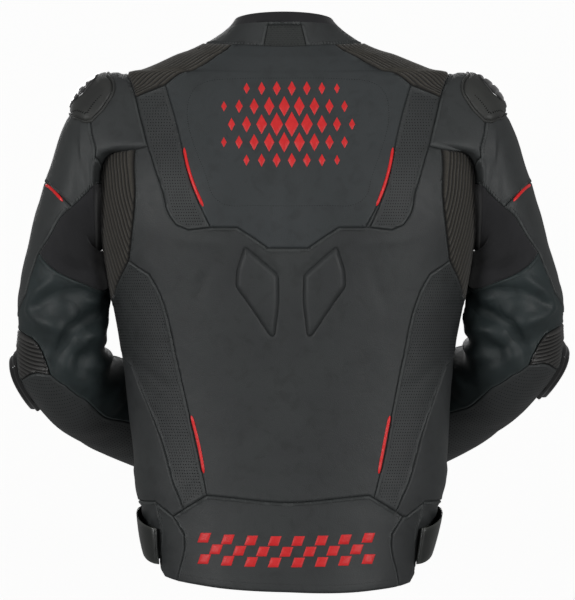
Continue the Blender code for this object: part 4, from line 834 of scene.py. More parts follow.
        # a scrap left between two outlines goes to its neighbour
        real = self.surface(flat[:, 0], flat[:, 1])
        cross = np.cross(real[tris[:, 1]] - real[tris[:, 0]], real[tris[:, 2]] - real[tris[:, 0]])
        area = np.linalg.norm(cross, axis=1) / 2
        beside = {}
        for i, t in enumerate(tris.tolist()):
            for a, b in ((t[0], t[1]), (t[1], t[2]), (t[2], t[0])):
                beside.setdefault((min(a, b), max(a, b)), []).append(i)
        near = [[] for _ in tris]
        for pair in beside.values():
            if len(pair) == 2:
                near[pair[0]].append(pair[1])
                near[pair[1]].append(pair[0])
        group = np.full(len(tris), -1)
        for start in range(len(tris)):
            if group[start] >= 0:
                continue
            group[start] = start
            stack, members = [start], [start]
            while stack:
                for k in near[stack.pop()]:
                    if group[k] < 0 and names[k] == names[start]:
                        group[k] = start
                        stack.append(k)
                        members.append(k)
            if area[members].sum() < cloth["smallest"]:
                votes = {}
                for m in members:
                    for k in near[m]:
                        if names[k] != names[start]:
                            votes[names[k]] = votes.get(names[k], 0) + 1
                if votes:
                    names[members] = max(sorted(votes), key=votes.get)
        return names


def ribLines(cut, tree, name, lines, step, height, margin):
    # crests, slopes and valleys of a ribbed panel: each line a quarter of the pitch from the last
    found = []
    for k, line in enumerate(lines):
        line = np.asarray(line, float)
        p = cut.surface(line[:, 0], line[:, 1])
        length = lengthsAlong(p)
        at = np.arange(0, length[-1], 1.0)
        dense = np.stack([np.interp(at, length, line[:, 0]), np.interp(at, length, line[:, 1])], axis=1)
        ok = cut.label(dense) == name
        if not ok.any():
            continue
        q = cut.surface(dense[:, 0], dense[:, 1])
        ok[ok] = distances(tree, q[ok]) > margin
        breaks = np.nonzero(np.diff(np.concatenate([[0], ok.astype(int), [0]])))[0]
        for start, stop in zip(breaks[::2], breaks[1::2]):
            if stop - start < 5:
                continue
            parts = max(1, int(round((stop - start) / step)))
            picks = [dense[start + int(round(i * (stop - start - 1) / parts))] for i in range(parts + 1)]
            cut.segments += list(zip(picks[:-1], picks[1:]))
            level = height * (0.5 + 0.5 * math.cos(math.pi * k / 2))
            found += [(pick, level) for pick in picks]
    return found


ribs = {"pitch": 4.1, "high": 1.5, "foldPitch": 3.4, "foldHigh": 1.7}
halfTurn = math.pi * torsoTurn


def evenly(surface, ends, row, step):
    # layout places along a row, about a step apart
    us = np.linspace(ends[0], ends[1], 721)
    p = surface(us, np.full_like(us, row))
    length = lengthsAlong(p)
    return np.interp(np.linspace(0, length[-1], int(length[-1] / step) + 1), length, us)


def yokeRibs(mirror):
    rows = np.linspace(-72, neckRow, 40)
    low = np.interp(rows, [-60, -47, -15, neckRow], [73.5, 65.5, 60, 52])
    high = np.interp(rows, [-68, -40, neckRow], [109, 113, 118])
    mid = body(np.full_like(rows, math.pi / 2 * torsoTurn), rows)
    reach = np.hypot(mid[:, 0], mid[:, 1])
    lines = []
    for k in range(1, 84):
        turn = low + np.degrees((k * ribs["pitch"] / 4 + 1.0) / (reach * 0.62))
        line = [(mirror * math.radians(t) * torsoTurn, r) for t, r, h in zip(turn, rows, high) if t < h]
        lines.append(line if len(line) > 3 else [(0.0, -300.0), (0.0, -299.0)])
    return lines


def sideRibs(mirror):
    lines = []
    for k in range(92):
        s = np.linspace(0, 205, 40)
        x = 180 + k * ribs["pitch"] / 4 - 0.12 * s - 0.0006 * s**2
        z = -119 - s
        line = []
        for xx, zz in zip(x, z):
            wide, back = (np.interp(zz, bodyRings[:, 1], bodyRings[:, c]) for c in (2, 3))
            ratio = min(xx / wide, 0.985)
            turn = math.degrees(math.atan2(ratio * wide, back * (1 - ratio**2.36) ** (1 / 2.36)))
            turn += math.degrees(max(xx / wide - 0.985, 0) * 1.6)
            line.append((mirror * math.radians(turn) * torsoTurn, zz))
        lines.append(line)
    return lines


ribPoints = []    # real place on the surface, height


def keepRibs(surface, found):
    if found:
        places = np.array([p for p, _ in found])
        ribPoints.extend(zip(surface(places[:, 0], places[:, 1]), [h for _, h in found]))


ribbedNames = [stem + side for stem in ("shoulder_yoke", "side_rib", "elbow_ribs")
               for side in ("_left", "_right")]
seamPlaces, edgePlaces = [], []


def cutBody():
    cut = Cut(body, bodyPanels, "back_lower", (-halfTurn, halfTurn, -700.0, neckRow), 2 * halfTurn)
    cut.addSeams()
    neck = evenly(body, (-halfTurn, halfTurn), neckRow, edgeStep)
    cut.addLine([(u, neckRow) for u in neck], "seam")
    seamPlaces.extend(cut.densePoints(cut.seamRuns))
    edgePlaces.extend(cut.densePoints(cut.edgeRuns))
    tree = treeOf(seamPlaces + edgePlaces)
    for u in (-halfTurn, halfTurn):
        cut.addLine([(u, v) for v in np.linspace(-571, neckRow, 150)], "plain")
    for side, mirror in (("left", 1), ("right", -1)):
        keepRibs(body, ribLines(cut, tree, "shoulder_yoke_" + side, yokeRibs(mirror), 7.0, ribs["high"], 2.2))
        keepRibs(body, ribLines(cut, tree, "side_rib_" + side, sideRibs(mirror), 7.0, ribs["high"], 2.2))
    cut.addBeside(tree, ["armhole", "outside"], ribbedNames)
    for pad in (padLeft, padRight):
        ring = smoothOutline(body, pad, edgeStep, {}, 4)
        cut.addLine(ring + ring[:1], "plain")
        padRings.append(np.array(ring))
        for gap in (-2.8, -1.1, 1.1, 2.4, 4.2, 6.8):
            shape = np.array(shrunk(body, ring, gap))
            ok = distances(treeOf(list(body(*np.array(ring).T))), body(*shape.T)) > abs(gap) * 0.8
            cut.free += [tuple(p) for p in shape[ok]]
    padTree = treeOf([p for ring in padRings for p in body(*ring.T)])
    before = len(cut.free)
    cut.addGrid(tree, ribbedNames, cloth["clearOfSeam"])
    grid = np.array(cut.free[before:])
    clear = distances(padTree, body(grid[:, 0], grid[:, 1])) > cloth["clearOfSeam"]
    cut.free = cut.free[:before] + [tuple(p) for p in grid[clear]]
    return cut


def shrunk(surface, polygon, amount):
    # the outline moved inward by a real distance
    poly = np.asarray(polygon, float)
    area = np.sum(poly[:, 0] * np.roll(poly[:, 1], -1) - np.roll(poly[:, 0], -1) * poly[:, 1])
    scale = metric(surface, poly)
    step = (np.roll(poly, -1, axis=0) - poly) * scale
    step = unit(step)
    left = np.stack([-step[:, 1], step[:, 0]], axis=1) * (1 if area > 0 else -1)
    before = np.roll(left, 1, axis=0)
    move = (left + before) / np.maximum(1 + np.sum(left * before, axis=1), 0.5)[:, None]
    return [tuple(row) for row in poly + move * amount / scale]



def softCorners(corners, radius):
    # the polygon with each corner turned into a short curve
    corners = np.array(corners)
    out = []
    for before, at, after in zip(np.roll(corners, 1, axis=0), corners, np.roll(corners, -1, axis=0)):
        start = at + (before - at) * min(radius / np.hypot(*(before - at)), 0.45)
        end = at + (after - at) * min(radius / np.hypot(*(after - at)), 0.45)
        out += [tuple(start * (1 - t) ** 2 + at * 2 * t * (1 - t) + end * t * t)
                for t in (0, 0.25, 0.5, 0.75, 1)]
    return out


padLeft = softCorners([bodyPlace("back", x, z) for x, z in padTable], 5.0)
padRight = mirrored(padLeft)
padRings = []
bodyCut = cutBody()
print("body cut,", len(bodyCut.free), "free points")

# Collar: leather stand, stretch band along the top and a mesh insert at the back
bandStart = 0.70 * collarHigh
collarEnd = math.radians(179.3) * torsoTurn
insertOutline = [
    (math.radians(21.5) * torsoTurn, -4.0), (math.radians(21.5) * torsoTurn, 0.0),
    (math.radians(18.5) * torsoTurn, 0.62 * collarHigh), (math.radians(-20.5) * torsoTurn, 0.62 * collarHigh),
    (math.radians(-24) * torsoTurn, 0.0), (math.radians(-24) * torsoTurn, -4.0),
]
bandOutline = [(-halfTurn - 9, bandStart), (halfTurn + 9, bandStart), (halfTurn + 9, 60.0),
               (-halfTurn - 9, 60.0)]


def cutCollar():
    bounds = (-collarEnd, collarEnd, 0.0, collarHigh)
    cut = Cut(collar, [("collar_insert", insertOutline), ("collar_band", bandOutline)], "collar_leather",
              bounds, 9e3)
    cut.addSeams()
    neck = [u for u in evenly(body, (-halfTurn, halfTurn), neckRow, edgeStep) if abs(u) < collarEnd - 0.5]
    cut.addLine([(-collarEnd, 0.0)] + [(u, 0.0) for u in neck] + [(collarEnd, 0.0)], "seam")
    cut.addLine([(-collarEnd, collarHigh)] + [(u, collarHigh) for u in neck] + [(collarEnd, collarHigh)],
                "edge")
    for u in (-collarEnd, collarEnd):
        cut.addLine([(u, w) for w in np.linspace(0, collarHigh, 12)], "edge")
    seam, edge = cut.densePoints(cut.seamRuns), cut.densePoints(cut.edgeRuns)
    seamPlaces.extend(seam)
    edgePlaces.extend(edge)
    tree = treeOf(seam + edge)
    cut.addBeside(tree, [], [])
    cut.addGrid(tree, [], cloth["clearOfSeam"])
    return cut


collarCut = cutCollar()

# Sleeves
sleeveSpan = 2 * math.pi * sleeveTurn
sleevePanels = [(name, [sleevePlace(*row) for row in table]) for name, table in sleeveTables]


elbow = {"lines": 58, "firstRow": 242, "turns": (-31, 78), "bend": 0.05, "flatTo": 10}


def elbowFolds():
    lines = []
    for j in range(elbow["lines"]):
        row = elbow["firstRow"] + j * ribs["foldPitch"] / 4
        turns = np.linspace(*elbow["turns"], 24)
        bent = row + elbow["bend"] * (np.abs(turns) - elbow["flatTo"])
        lines.append(list(zip(np.radians(turns) * sleeveTurn, bent)))
    return lines


def cutSleeve(surface, side):
    named = [(name + "_" + side, polygon) for name, polygon in sleevePanels]
    bounds = (-sleeveSpan / 2, sleeveSpan / 2, 0.0, cuffRow)
    cut = Cut(surface, named, "sleeve_lower_" + side, bounds, sleeveSpan)
    cut.addSeams()
    turns = sorted(set(armholeTurns[armholeTurns <= 180]) | set(armholeTurns[armholeTurns >= 180] - 360))
    cut.addLine([(math.radians(a) * sleeveTurn, 0.0) for a in turns], "seam")
    ring = [(u, cuffRow) for u in evenly(surface, (-sleeveSpan / 2, sleeveSpan / 2), cuffRow, edgeStep)]
    cut.addLine(ring, "edge")
    seam, edge = cut.densePoints(cut.seamRuns), cut.densePoints(cut.edgeRuns)
    seamPlaces.extend(seam)
    edgePlaces.extend(edge)
    tree = treeOf(seam + edge)
    for u in (-sleeveSpan / 2, sleeveSpan / 2):
        cut.addLine([(u, v) for v in np.linspace(0, cuffRow, 116)], "plain")
    keepRibs(surface, ribLines(cut, tree, "elbow_ribs_" + side, elbowFolds(), 6.0, ribs["foldHigh"], 2.0))
    cut.addBeside(tree, [], ribbedNames)
    cut.addGrid(tree, ribbedNames, cloth["clearOfSeam"])
    return cut


leftCut = cutSleeve(sleeveLeft, "left")
rightCut = cutSleeve(sleeveRight, "right")
print("sleeves cut,", len(leftCut.free), len(rightCut.free), "free points")

# Creases: degrees, row, degrees, row, half breadth, height. Soft, and uneven in length and depth.
bodyCreases = (
    (70, -540, 92, -566, 5, -1.6), (74, -534, 99, -556, 4, 1.3), (80, -533, 108, -551, 5, -1.4),
    (64, -536, 78, -560, 4, 1.0), (-70, -540, -92, -566, 5, -1.6), (-72, -534, -101, -558, 4, 1.3),
    (-82, -533, -106, -549, 5, -1.4), (-64, -537, -76, -562, 4, 0.9), (66, -505, 88, -522, 6, -1.2),
    (70, -488, 96, -500, 6, 1.1), (-68, -507, -90, -524, 6, -1.2), (-72, -486, -99, -502, 6, 1.0),
    (60, -398, 82, -350, 7, -1.2), (66, -420, 86, -372, 6, 1.0), (-60, -396, -80, -352, 7, -1.1),
    (-68, -424, -88, -380, 6, 0.9), (10, -505, 30, -492, 8, -0.7), (-8, -512, -34, -500, 8, -0.6),
    (-20, -470, 14, -478, 9, -0.5), (38, -255, 46, -300, 6, -0.9), (-38, -256, -46, -304, 6, -0.9),
    (30, -232, 50, -226, 5, 0.7), (-31, -233, -52, -226, 5, 0.7), (108, -470, 140, -500, 9, -1.5),
    (112, -500, 150, -522, 9, 1.3), (-110, -474, -138, -498, 9, -1.4), (-114, -504, -152, -520, 9, 1.2),
    (120, -250, 150, -215, 10, -1.3), (118, -220, 146, -190, 10, 1.1), (-121, -252, -149, -218, 10, -1.3),
    (-118, -222, -147, -188, 10, 1.0), (128, -110, 152, -150, 9, -1.0), (-127, -112, -151, -148, 9, -1.0),
    (125, -400, 160, -420, 10, -1.1), (-128, -396, -162, -424, 10, -1.2), (0, -560, 26, -556, 9, -0.4),
)
sleeveCreases = (
    (20, 96, 62, 108, 8, -1.1), (-20, 104, 30, 120, 9, -0.9), (60, 54, 92, 76, 8, -1.2),
    (30, 36, 74, 44, 6, 0.8),
    (98, 190, 140, 226, 8, -2.6), (92, 208, 132, 240, 7, 1.8), (112, 196, 168, 240, 7, -2.0),
    (84, 236, 128, 268, 7, -2.2), (80, 252, 116, 284, 6, 1.5), (96, 262, 150, 304, 7, -2.0),
    (120, 232, 176, 262, 8, 1.8), (88, 300, 140, 330, 7, -1.6), (60, 268, 92, 290, 6, -1.4),
    (66, 330, 110, 356, 8, -1.2), (20, 344, 70, 366, 8, -0.9), (-20, 352, 20, 372, 8, -0.9),
    (30, 384, 84, 398, 7, -0.8), (100, 378, 160, 394, 8, -1.4), (170, 390, 240, 400, 8, -1.3),
    (120, 404, 170, 416, 7, 1.0), (230, 340, 290, 352, 8, -1.6), (240, 362, 300, 372, 8, 1.2),
    (220, 198, 270, 214, 9, -1.9), (236, 226, 300, 240, 9, 1.6), (-60, 226, -100, 246, 8, -1.7),
    (-52, 206, -92, 218, 8, 1.3), (110, 110, 170, 128, 9, -1.4), (112, 138, 168, 160, 9, -1.7),
    (108, 152, 160, 178, 7, 1.3), (120, 84, 172, 96, 8, -1.2), (250, 90, 300, 128, 9, -1.2),
    (244, 130, 296, 160, 9, 1.0), (-10, 130, 34, 160, 10, -0.7), (-20, 172, 26, 196, 10, -0.8),
)
# The lower sleeve's folds bend: half breadth, height, then x and z seen from behind
lowerFolds = (
    (7.5, -5.2, ((209, -288), (238, -287), (268, -290), (286, -297), (296, -304))),
    (7.0, 5.4, ((273, -271), (292, -286), (300, -298), (302, -308), (292, -320), (274, -326), (268, -334),
                (270, -345),
                (276, -363))),
    (8.0, -10.5, ((209, -291), (215, -305), (235, -321), (251, -332), (260, -345), (269, -359), (272, -369))),
    (11.5, 5.6, ((213, -322), (235, -340), (251, -355), (258, -369))),
    (9.0, -3.6, ((232, -352), (241, -366), (247, -382))),
    (8.0, -4.5, ((270, -232), (267, -250), (253, -260), (230, -264))),
    (9.0, 3.2, ((264, -224), (254, -243), (236, -251))),
)
softLeather = {"wide": 46.0, "high": 0.55, "fineWide": 17.0, "fineHigh": 0.22}
padForm = {"high": 3.2, "groove": 1.5, "reach": 5.5}


def bentFolds(u, v, lines):
    # ridges and troughs along bent lines, thinning towards both ends
    out = np.zeros(len(u))
    for breadth, high, corners in lines:
        spots = np.array([sleevePlace("back", x, z) for x, z in corners])
        length = np.concatenate([[0], np.cumsum(np.hypot(*np.diff(spots, axis=0).T))])
        nearest, share = np.full(len(u), 1e9), np.zeros(len(u))
        for a, b, start, end in zip(spots[:-1], spots[1:], length[:-1], length[1:]):
            way = b - a
            k = np.clip(((u - a[0]) * way[0] + (v - a[1]) * way[1]) / (way @ way), 0, 1)
            far = np.hypot(u - a[0] - k * way[0], v - a[1] - k * way[1])
            share = np.where(far < nearest, (start + (end - start) * k) / length[-1], share)
            nearest = np.minimum(far, nearest)
        out += high * np.exp(-((nearest / breadth) ** 2)) * (0.3 + 0.7
                                                             * np.sin(np.pi * (0.08 + 0.84 * share)))
    return out


def padHeight(flat, points):
    out = np.zeros(len(flat))
    for ring in padRings:
        ahead = np.roll(ring, -1, axis=0)
        dense = np.concatenate([ring * (1 - k) + ahead * k for k in (0, 0.25, 0.5, 0.75)])
        tree = treeOf(list(body(*dense.T)))
        close = np.nonzero((np.abs(flat - ring.mean(axis=0)) < [60, 90]).all(axis=1))[0]
        far = distances(tree, points[close])
        within = inside(ring, flat[close])
        rise = padForm["high"] * steps(far / padForm["reach"]) ** 0.8
        out[close] += np.where(within, rise, 0) - padForm["groove"] * np.exp(-((far / 1.15) ** 2))
    return out


flats, points, faces, names, keys = [], [], [], [], []
vertexKey, total = [], 0
for key, cut, turnOver in (
    ("body", bodyCut, True), ("collar", collarCut, True), ("left", leftCut, True), ("right", rightCut, False),
):
    flat, tris, label = cut.mesh()
    real = cut.surface(flat[:, 0], flat[:, 1])
    flatArea = np.cross(flat[tris[:, 1]] - flat[tris[:, 0]], flat[tris[:, 2]] - flat[tris[:, 0]])
    tris = np.where(((flatArea < 0) ^ turnOver)[:, None], tris[:, ::-1], tris)
    flats.append(flat)
    points.append(real)
    faces.append(tris + total)
    names.append(label)
    keys += [key] * len(tris)
    vertexKey += [key] * len(flat)
    total += len(flat)
flats, points, faces, names = (np.concatenate(a) for a in (flats, points, faces, names))
keys, vertexKey = np.array(keys), np.array(vertexKey)
print("shell of", len(points), "points and", len(faces), "faces")

# Points that lie on each other become one, so that panels share their normals
used = np.unique(faces)
weldTree = kdtree.KDTree(len(used))
for i in used:
    weldTree.insert(points[i], int(i))
weldTree.balance()
same = np.arange(len(points))
for i in used:
    same[i] = min(index for _, index, _ in weldTree.find_range(points[i], 0.06))
same = same[same]
shell = same[faces]
good = (shell[:, 0] != shell[:, 1]) & (shell[:, 1] != shell[:, 2]) & (shell[:, 0] != shell[:, 2])
shell, faces, names, keys = shell[good], faces[good], names[good], keys[good]


def angleNormals(places, tris, count):
    out = np.zeros((count, 3))
    facing = np.cross(places[tris[:, 1]] - places[tris[:, 0]], places[tris[:, 2]] - places[tris[:, 0]])
    facing = facing / np.maximum(np.linalg.norm(facing, axis=1), 1e-12)[:, None]
    for k in range(3):
        p, q, r = (places[tris[:, (k + m) % 3]] for m in range(3))
        e, f = q - p, r - p
        size = np.maximum(np.linalg.norm(e, axis=1) * np.linalg.norm(f, axis=1), 1e-12)
        np.add.at(out, tris[:, k], facing * np.arccos(np.clip(np.sum(e * f, axis=1) / size, -1, 1))[:, None])
    return out / np.maximum(np.linalg.norm(out, axis=1), 1e-12)[:, None]


normals = angleNormals(points, shell, len(points))
seamTree, edgeTree = treeOf(seamPlaces), treeOf(edgePlaces)
shellIds = np.unique(shell)
seamFar = np.full(len(points), 99.0)
seamFar[shellIds] = distances(seamTree, points[shellIds])
edgeFar = np.full(len(points), 99.0)
edgeFar[shellIds] = distances(edgeTree, points[shellIds])

ribbed, soft = np.zeros(len(points), bool), np.zeros(len(points), bool)
isRibbed = np.isin(names.astype(str), ribbedNames)
isSoft = np.isin(names.astype(str),
                 ["underarm_left", "underarm_right", "collar_band", "collar_insert", "zip_tape"])
ribbed[shell[isRibbed].ravel()] = True
soft[shell[isSoft].ravel()] = True

# At a seam the panel that comes later here is folded over the other and shows the fold as a ridge
foldedOver = (
    "shoulder_yoke", "side_rib", "elbow_ribs", "underarm", "collar_band", "collar_insert", "zip_tape",
    "back_upper", "back_lower", "front", "side_panel", "hem_gusset", "back_perforated", "forearm_inner",
    "sleeve_front", "forearm_perforated", "sleeve_lower", "sleeve_outer", "side_perforated", "sleeve_head",
    "sleeve_upper", "hem_side", "hem_back", "collar_leather", "cuff",
)
foldReach = 8.0


def stemOf(name):
    return name.replace("_left", "").replace("_right", "")


def foldRank(labels):
    known = {name: foldedOver.index(stemOf(name)) for name in set(labels) if stemOf(name) in foldedOver}
    return np.array([known.get(name, 0) for name in labels])


pointRank = np.full(len(points), -1)
np.maximum.at(pointRank, shell.ravel(), np.repeat(foldRank(names.astype(str)), 3))
onSeam = shellIds[seamFar[shellIds] < 0.05]
onSeamTree = treeOf(points[onSeam])
overShare = np.ones(len(points))
for i in shellIds[(seamFar[shellIds] > 0.05) & (seamFar[shellIds] < foldReach)]:
    if pointRank[i] < pointRank[onSeam[onSeamTree.find(points[i])[1]]]:
        overShare[i] = cloth["besideWelt"]

height = np.zeros(len(points))
groove = -cloth["grooveDeep"] * np.exp(-((seamFar / cloth["grooveWide"]) ** 2))
welt = cloth["weltHigh"] * steps((seamFar - 0.5) / 0.9) * (1 - 0.8 * steps((seamFar - 2.8) / 0.9))
welt *= (1 - steps((seamFar - 4.5) / 4.0)) * overShare
height += groove + np.where(ribbed | soft, 0.15, 1.0) * welt
hemRoll = 0.5 * steps(edgeFar / 1.6) * (1 - steps((edgeFar - 9.0)
                                                  / 3.0)) - 0.7 * np.exp(-((edgeFar / 1.1) ** 2))
height += hemRoll * np.where(soft, 0.6, 1.0)
crease = np.zeros(len(points))
atBody, atSleeve = vertexKey == "body", (vertexKey == "left") | (vertexKey == "right")
crease[atBody] = foldHeights(flats[atBody, 0], flats[atBody, 1], bodyCreases, torsoTurn)
crease[atSleeve] = foldHeights(flats[atSleeve, 0], flats[atSleeve, 1], sleeveCreases, sleeveTurn)
crease[atSleeve] += bentFolds(flats[atSleeve, 0], flats[atSleeve, 1], lowerFolds)
crease[atSleeve] *= steps((flats[atSleeve, 1] - 8) / 24)
waves = np.zeros(len(points))
for i in shellIds:
    p = Vector(points[i])
    waves[i] = (softLeather["high"] * noise.noise(p / softLeather["wide"])
                + softLeather["fineHigh"] * noise.noise(p / softLeather["fineWide"]
                                                        + Vector((9.1, 3.7, 1.3))))
settle = steps(seamFar / 9.0) * steps(edgeFar / 9.0)
height += crease * (0.35 + 0.65 * settle) * np.where(ribbed, 0.3,
                                                     1.0) + waves * settle * np.where(ribbed, 0.2, 1.0)
padRise = np.zeros(len(points))
padRise[atBody] = padHeight(flats[atBody], points[atBody])
height += padRise
ribTree = kdtree.KDTree(len(ribPoints))
for i, (p, h) in enumerate(ribPoints):
    ribTree.insert(p, i)
ribTree.balance()
for i in np.nonzero(ribbed)[0]:
    _, index, gap = ribTree.find(points[i])
    if gap < 0.03:
        height[i] += ribPoints[index][1]
height = height[same]
print("heights ready")

# Materials. Colours are sRGB hex, and pattern sizes come from real millimetres
finish = {}


def newMaterial(name, base, rough, metallic=0.0):
    made = bpy.data.materials.new(name)
    made.use_nodes = True
    shader = made.node_tree.nodes["Principled BSDF"]
    shader.inputs["Base Color"].default_value = linear(base)
    shader.inputs["Roughness"].default_value = rough
    shader.inputs["Metallic"].default_value = metallic
    finish[name] = made
    return made.node_tree, shader


def perMillimetre(size):
    return 1000.0 / size


def objectPlace(tree):
    return addNode(tree, "ShaderNodeTexCoord").outputs["Object"]


def noiseAt(tree, place, size, detail=2.0, distortion=0.0):
    # noise whose blotches are about size mm apart
    values = {"Scale": perMillimetre(size), "Detail": detail, "Distortion": distortion}
    return addNode(tree, "ShaderNodeTexNoise", values, {"Vector": place}).outputs["Fac"]


def blendColours(tree, low, high, factor):
    # low and high are hex or a colour socket
    node = addNode(tree, "ShaderNodeMix", data_type="RGBA")
    tree.links.new(factor, node.inputs[0])
    for index, value in ((6, low), (7, high)):
        if isinstance(value, str):
            node.inputs[index].default_value = linear(value)
        else:
            tree.links.new(value, node.inputs[index])
    return node.outputs[2]


def spread(tree, socket, low, high, fromLow=0.3, fromHigh=0.7):
    values = {"From Min": fromLow, "From Max": fromHigh, "To Min": low, "To Max": high}
    return addNode(tree, "ShaderNodeMapRange", values, {"Value": socket}).outputs["Result"]


def bumpChain(tree, shader, layers):
    # layers: height socket, strength, depth in mm
    last = None
    for socket, strength, depth in layers:
        links = {"Height": socket}
        if last is not None:
            links["Normal"] = last
        node = addNode(tree, "ShaderNodeBump", {"Strength": strength, "Distance": depth * mm}, links)
        last = node.outputs["Normal"]
    tree.links.new(last, shader.inputs["Normal"])


def leather(name, colours, rough, grain, wrinkle):
    # Full-grain cowhide, pigmented and lightly waxed: even grain, soft broad creases, a dull sheen. The ridge
    # that stands up
    # beside a seam is painted lighter: partly rub wear, partly a painted highlight. The grain is drawn at 2
    # mm, coarser than real, to show.
    tree, shader = newMaterial(name, colours["base"], rough[0])
    place = objectPlace(tree)
    broad = noiseAt(tree, place, 85, 3.0)
    middle = noiseAt(tree, place, 14, 5.0, 0.6)
    pores = addNode(tree, "ShaderNodeTexVoronoi", {"Scale": perMillimetre(grain)}, {"Vector": place},
                    feature="DISTANCE_TO_EDGE")
    fine = noiseAt(tree, place, 2.6, 4.0)
    edge = addNode(tree, "ShaderNodeAttribute", attribute_name="seamWear").outputs["Fac"]
    colour = blendColours(tree, colours["base"], colours["light"], spread(tree, broad, 0.0, 0.85))
    colour = blendColours(tree, colour, colours["dark"], spread(tree, middle, 0.45, 0.0, 0.32, 0.5))
    # the seam ridges are painted lighter: partly rub wear, partly a painted highlight
    colour = blendColours(tree, colour, colours["worn"], edge)
    tree.links.new(colour, shader.inputs["Base Color"])
    tree.links.new(spread(tree, middle, rough[0], rough[1]), shader.inputs["Roughness"])
    shader.inputs["Specular IOR Level"].default_value = 0.42
    cells = spread(tree, pores.outputs["Distance"], 0.0, 1.0, 0.0, 0.22)
    bumpChain(tree, shader, ((middle, 0.30, wrinkle), (fine, 0.30, 0.22),
                             (cells, 0.34, 0.20)))


leather("pigmentedCowhide", {"base": "323435", "light": "383b3b", "dark": "292b2b", "worn": "505453"},
        (0.50, 0.62), 2.0, 0.9)
leather("softCowhide", {"base": "21292a", "light": "293334", "dark": "191f20", "worn": "3e4746"},
        (0.50, 0.62), 2.2, 1.0)
leather("strapLeather", {"base": "222423", "light": "2c2e2c", "dark": "191a19", "worn": "4a4c48"},
        (0.26, 0.38), 2.2, 0.8)
leather("backCowhide", {"base": "333738", "light": "393d3f", "dark": "2b2e2f", "worn": "4b4f4f"},
        (0.50, 0.60), 2.0, 0.6)


def ribbedKnit():
    # Stretch rib knit, acrylic and elastane: soft matt ribs with a brown cast and a fine stitch along each
    # rib.
    # The crests are painted lighter and the valleys near black: painted light and painted shade.
    tree, shader = newMaterial("ribbedKnit", "2d2823", 0.88)
    place = objectPlace(tree)
    level = addNode(tree, "ShaderNodeAttribute", attribute_name="ribLevel").outputs["Fac"]
    fuzz = noiseAt(tree, place, 1.8, 4.0)
    loops = addNode(tree, "ShaderNodeTexVoronoi", {"Scale": perMillimetre(1.5)}, {"Vector": place})
    colour = blendColours(tree, "030303", "4c4840", level)
    colour = blendColours(tree, colour, "15130f", spread(tree, fuzz, 0.0, 0.5))
    tree.links.new(colour, shader.inputs["Base Color"])
    shader.inputs["Sheen Weight"].default_value = 0.25
    shader.inputs["Sheen Roughness"].default_value = 0.5
    bumpChain(tree, shader, ((fuzz, 0.5, 0.3), (loops.outputs["Distance"], 0.5, 0.3)))


def foldedLeather():
    # Thin leather sewn over elastic in narrow folds: the crests are painted light and the folds between
    # painted dark, a painted highlight and painted shade
    tree, shader = newMaterial("foldedLeather", "2a2825", 0.4)
    place = objectPlace(tree)
    level = addNode(tree, "ShaderNodeAttribute", attribute_name="ribLevel").outputs["Fac"]
    grain = noiseAt(tree, place, 3.0, 5.0)
    tree.links.new(blendColours(tree, "040404", "434240", level), shader.inputs["Base Color"])
    tree.links.new(spread(tree, grain, 0.3, 0.45), shader.inputs["Roughness"])
    bumpChain(tree, shader, ((grain, 0.5, 0.4),))


def stretchWeave():
    # Four-way stretch polyamide, woven: deep matt black with a faint violet cast and a 1.2 mm twill
    tree, shader = newMaterial("stretchWeave", "141418", 0.8)
    cloth = addNode(tree, "ShaderNodeUVMap", uv_map="layout").outputs["UV"]
    broad = noiseAt(tree, cloth, 40, 3.0)
    twill = addNode(tree, "ShaderNodeTexWave",
                    {"Scale": perMillimetre(1.2) / 20, "Distortion": 0.6, "Detail": 2.0},
                    {"Vector": cloth}, bands_direction="DIAGONAL")
    tree.links.new(blendColours(tree, "0b0b0f", "151519", spread(tree, broad, 0.0, 1.0)),
                   shader.inputs["Base Color"])
    shader.inputs["Sheen Weight"].default_value = 0.35
    shader.inputs["Sheen Roughness"].default_value = 0.45
    bumpChain(tree, shader, ((twill.outputs["Fac"], 0.25, 0.25), (broad, 0.2, 0.8)))


def airMesh():
    # Three-layer polyester mesh: slanting rows of small open cells, 3.4 mm apart, in the collar's back
    tree, shader = newMaterial("airMesh", "2b2c2b", 0.8)
    cloth = addNode(tree, "ShaderNodeUVMap", uv_map="layout").outputs["UV"]
    turned = addNode(tree, "ShaderNodeMapping", {"Rotation": (0, 0, math.radians(45))}, {"Vector": cloth})
    cells = addNode(tree, "ShaderNodeTexVoronoi", {"Scale": perMillimetre(3.4), "Randomness": 0.0},
                    {"Vector": turned.outputs["Vector"]})
    hole = spread(tree, cells.outputs["Distance"], 0.0, 1.0, 0.22, 0.36)
    tree.links.new(blendColours(tree, "191a1a", "383b3a", hole), shader.inputs["Base Color"])
    bumpChain(tree, shader, ((hole, 0.8, 0.7),))


def softTouchArmour():
    # Polyurethane moulded with a leather grain over foam: matt and even, with small dimples
    tree, shader = newMaterial("softTouchArmour", "2b2b2a", 0.55)
    place = objectPlace(tree)
    grain = addNode(tree, "ShaderNodeTexVoronoi", {"Scale": perMillimetre(2.0)}, {"Vector": place},
                    feature="DISTANCE_TO_EDGE")
    tone = noiseAt(tree, place, 30, 3.0)
    tree.links.new(blendColours(tree, "2d2e2d", "363735", spread(tree, tone, 0.0, 1.0)),
                   shader.inputs["Base Color"])
    tree.links.new(spread(tree, tone, 0.48, 0.6), shader.inputs["Roughness"])
    bumpChain(tree, shader, ((spread(tree, grain.outputs["Distance"], 0.0, 1.0, 0.0, 0.2), 0.3, 0.15),))


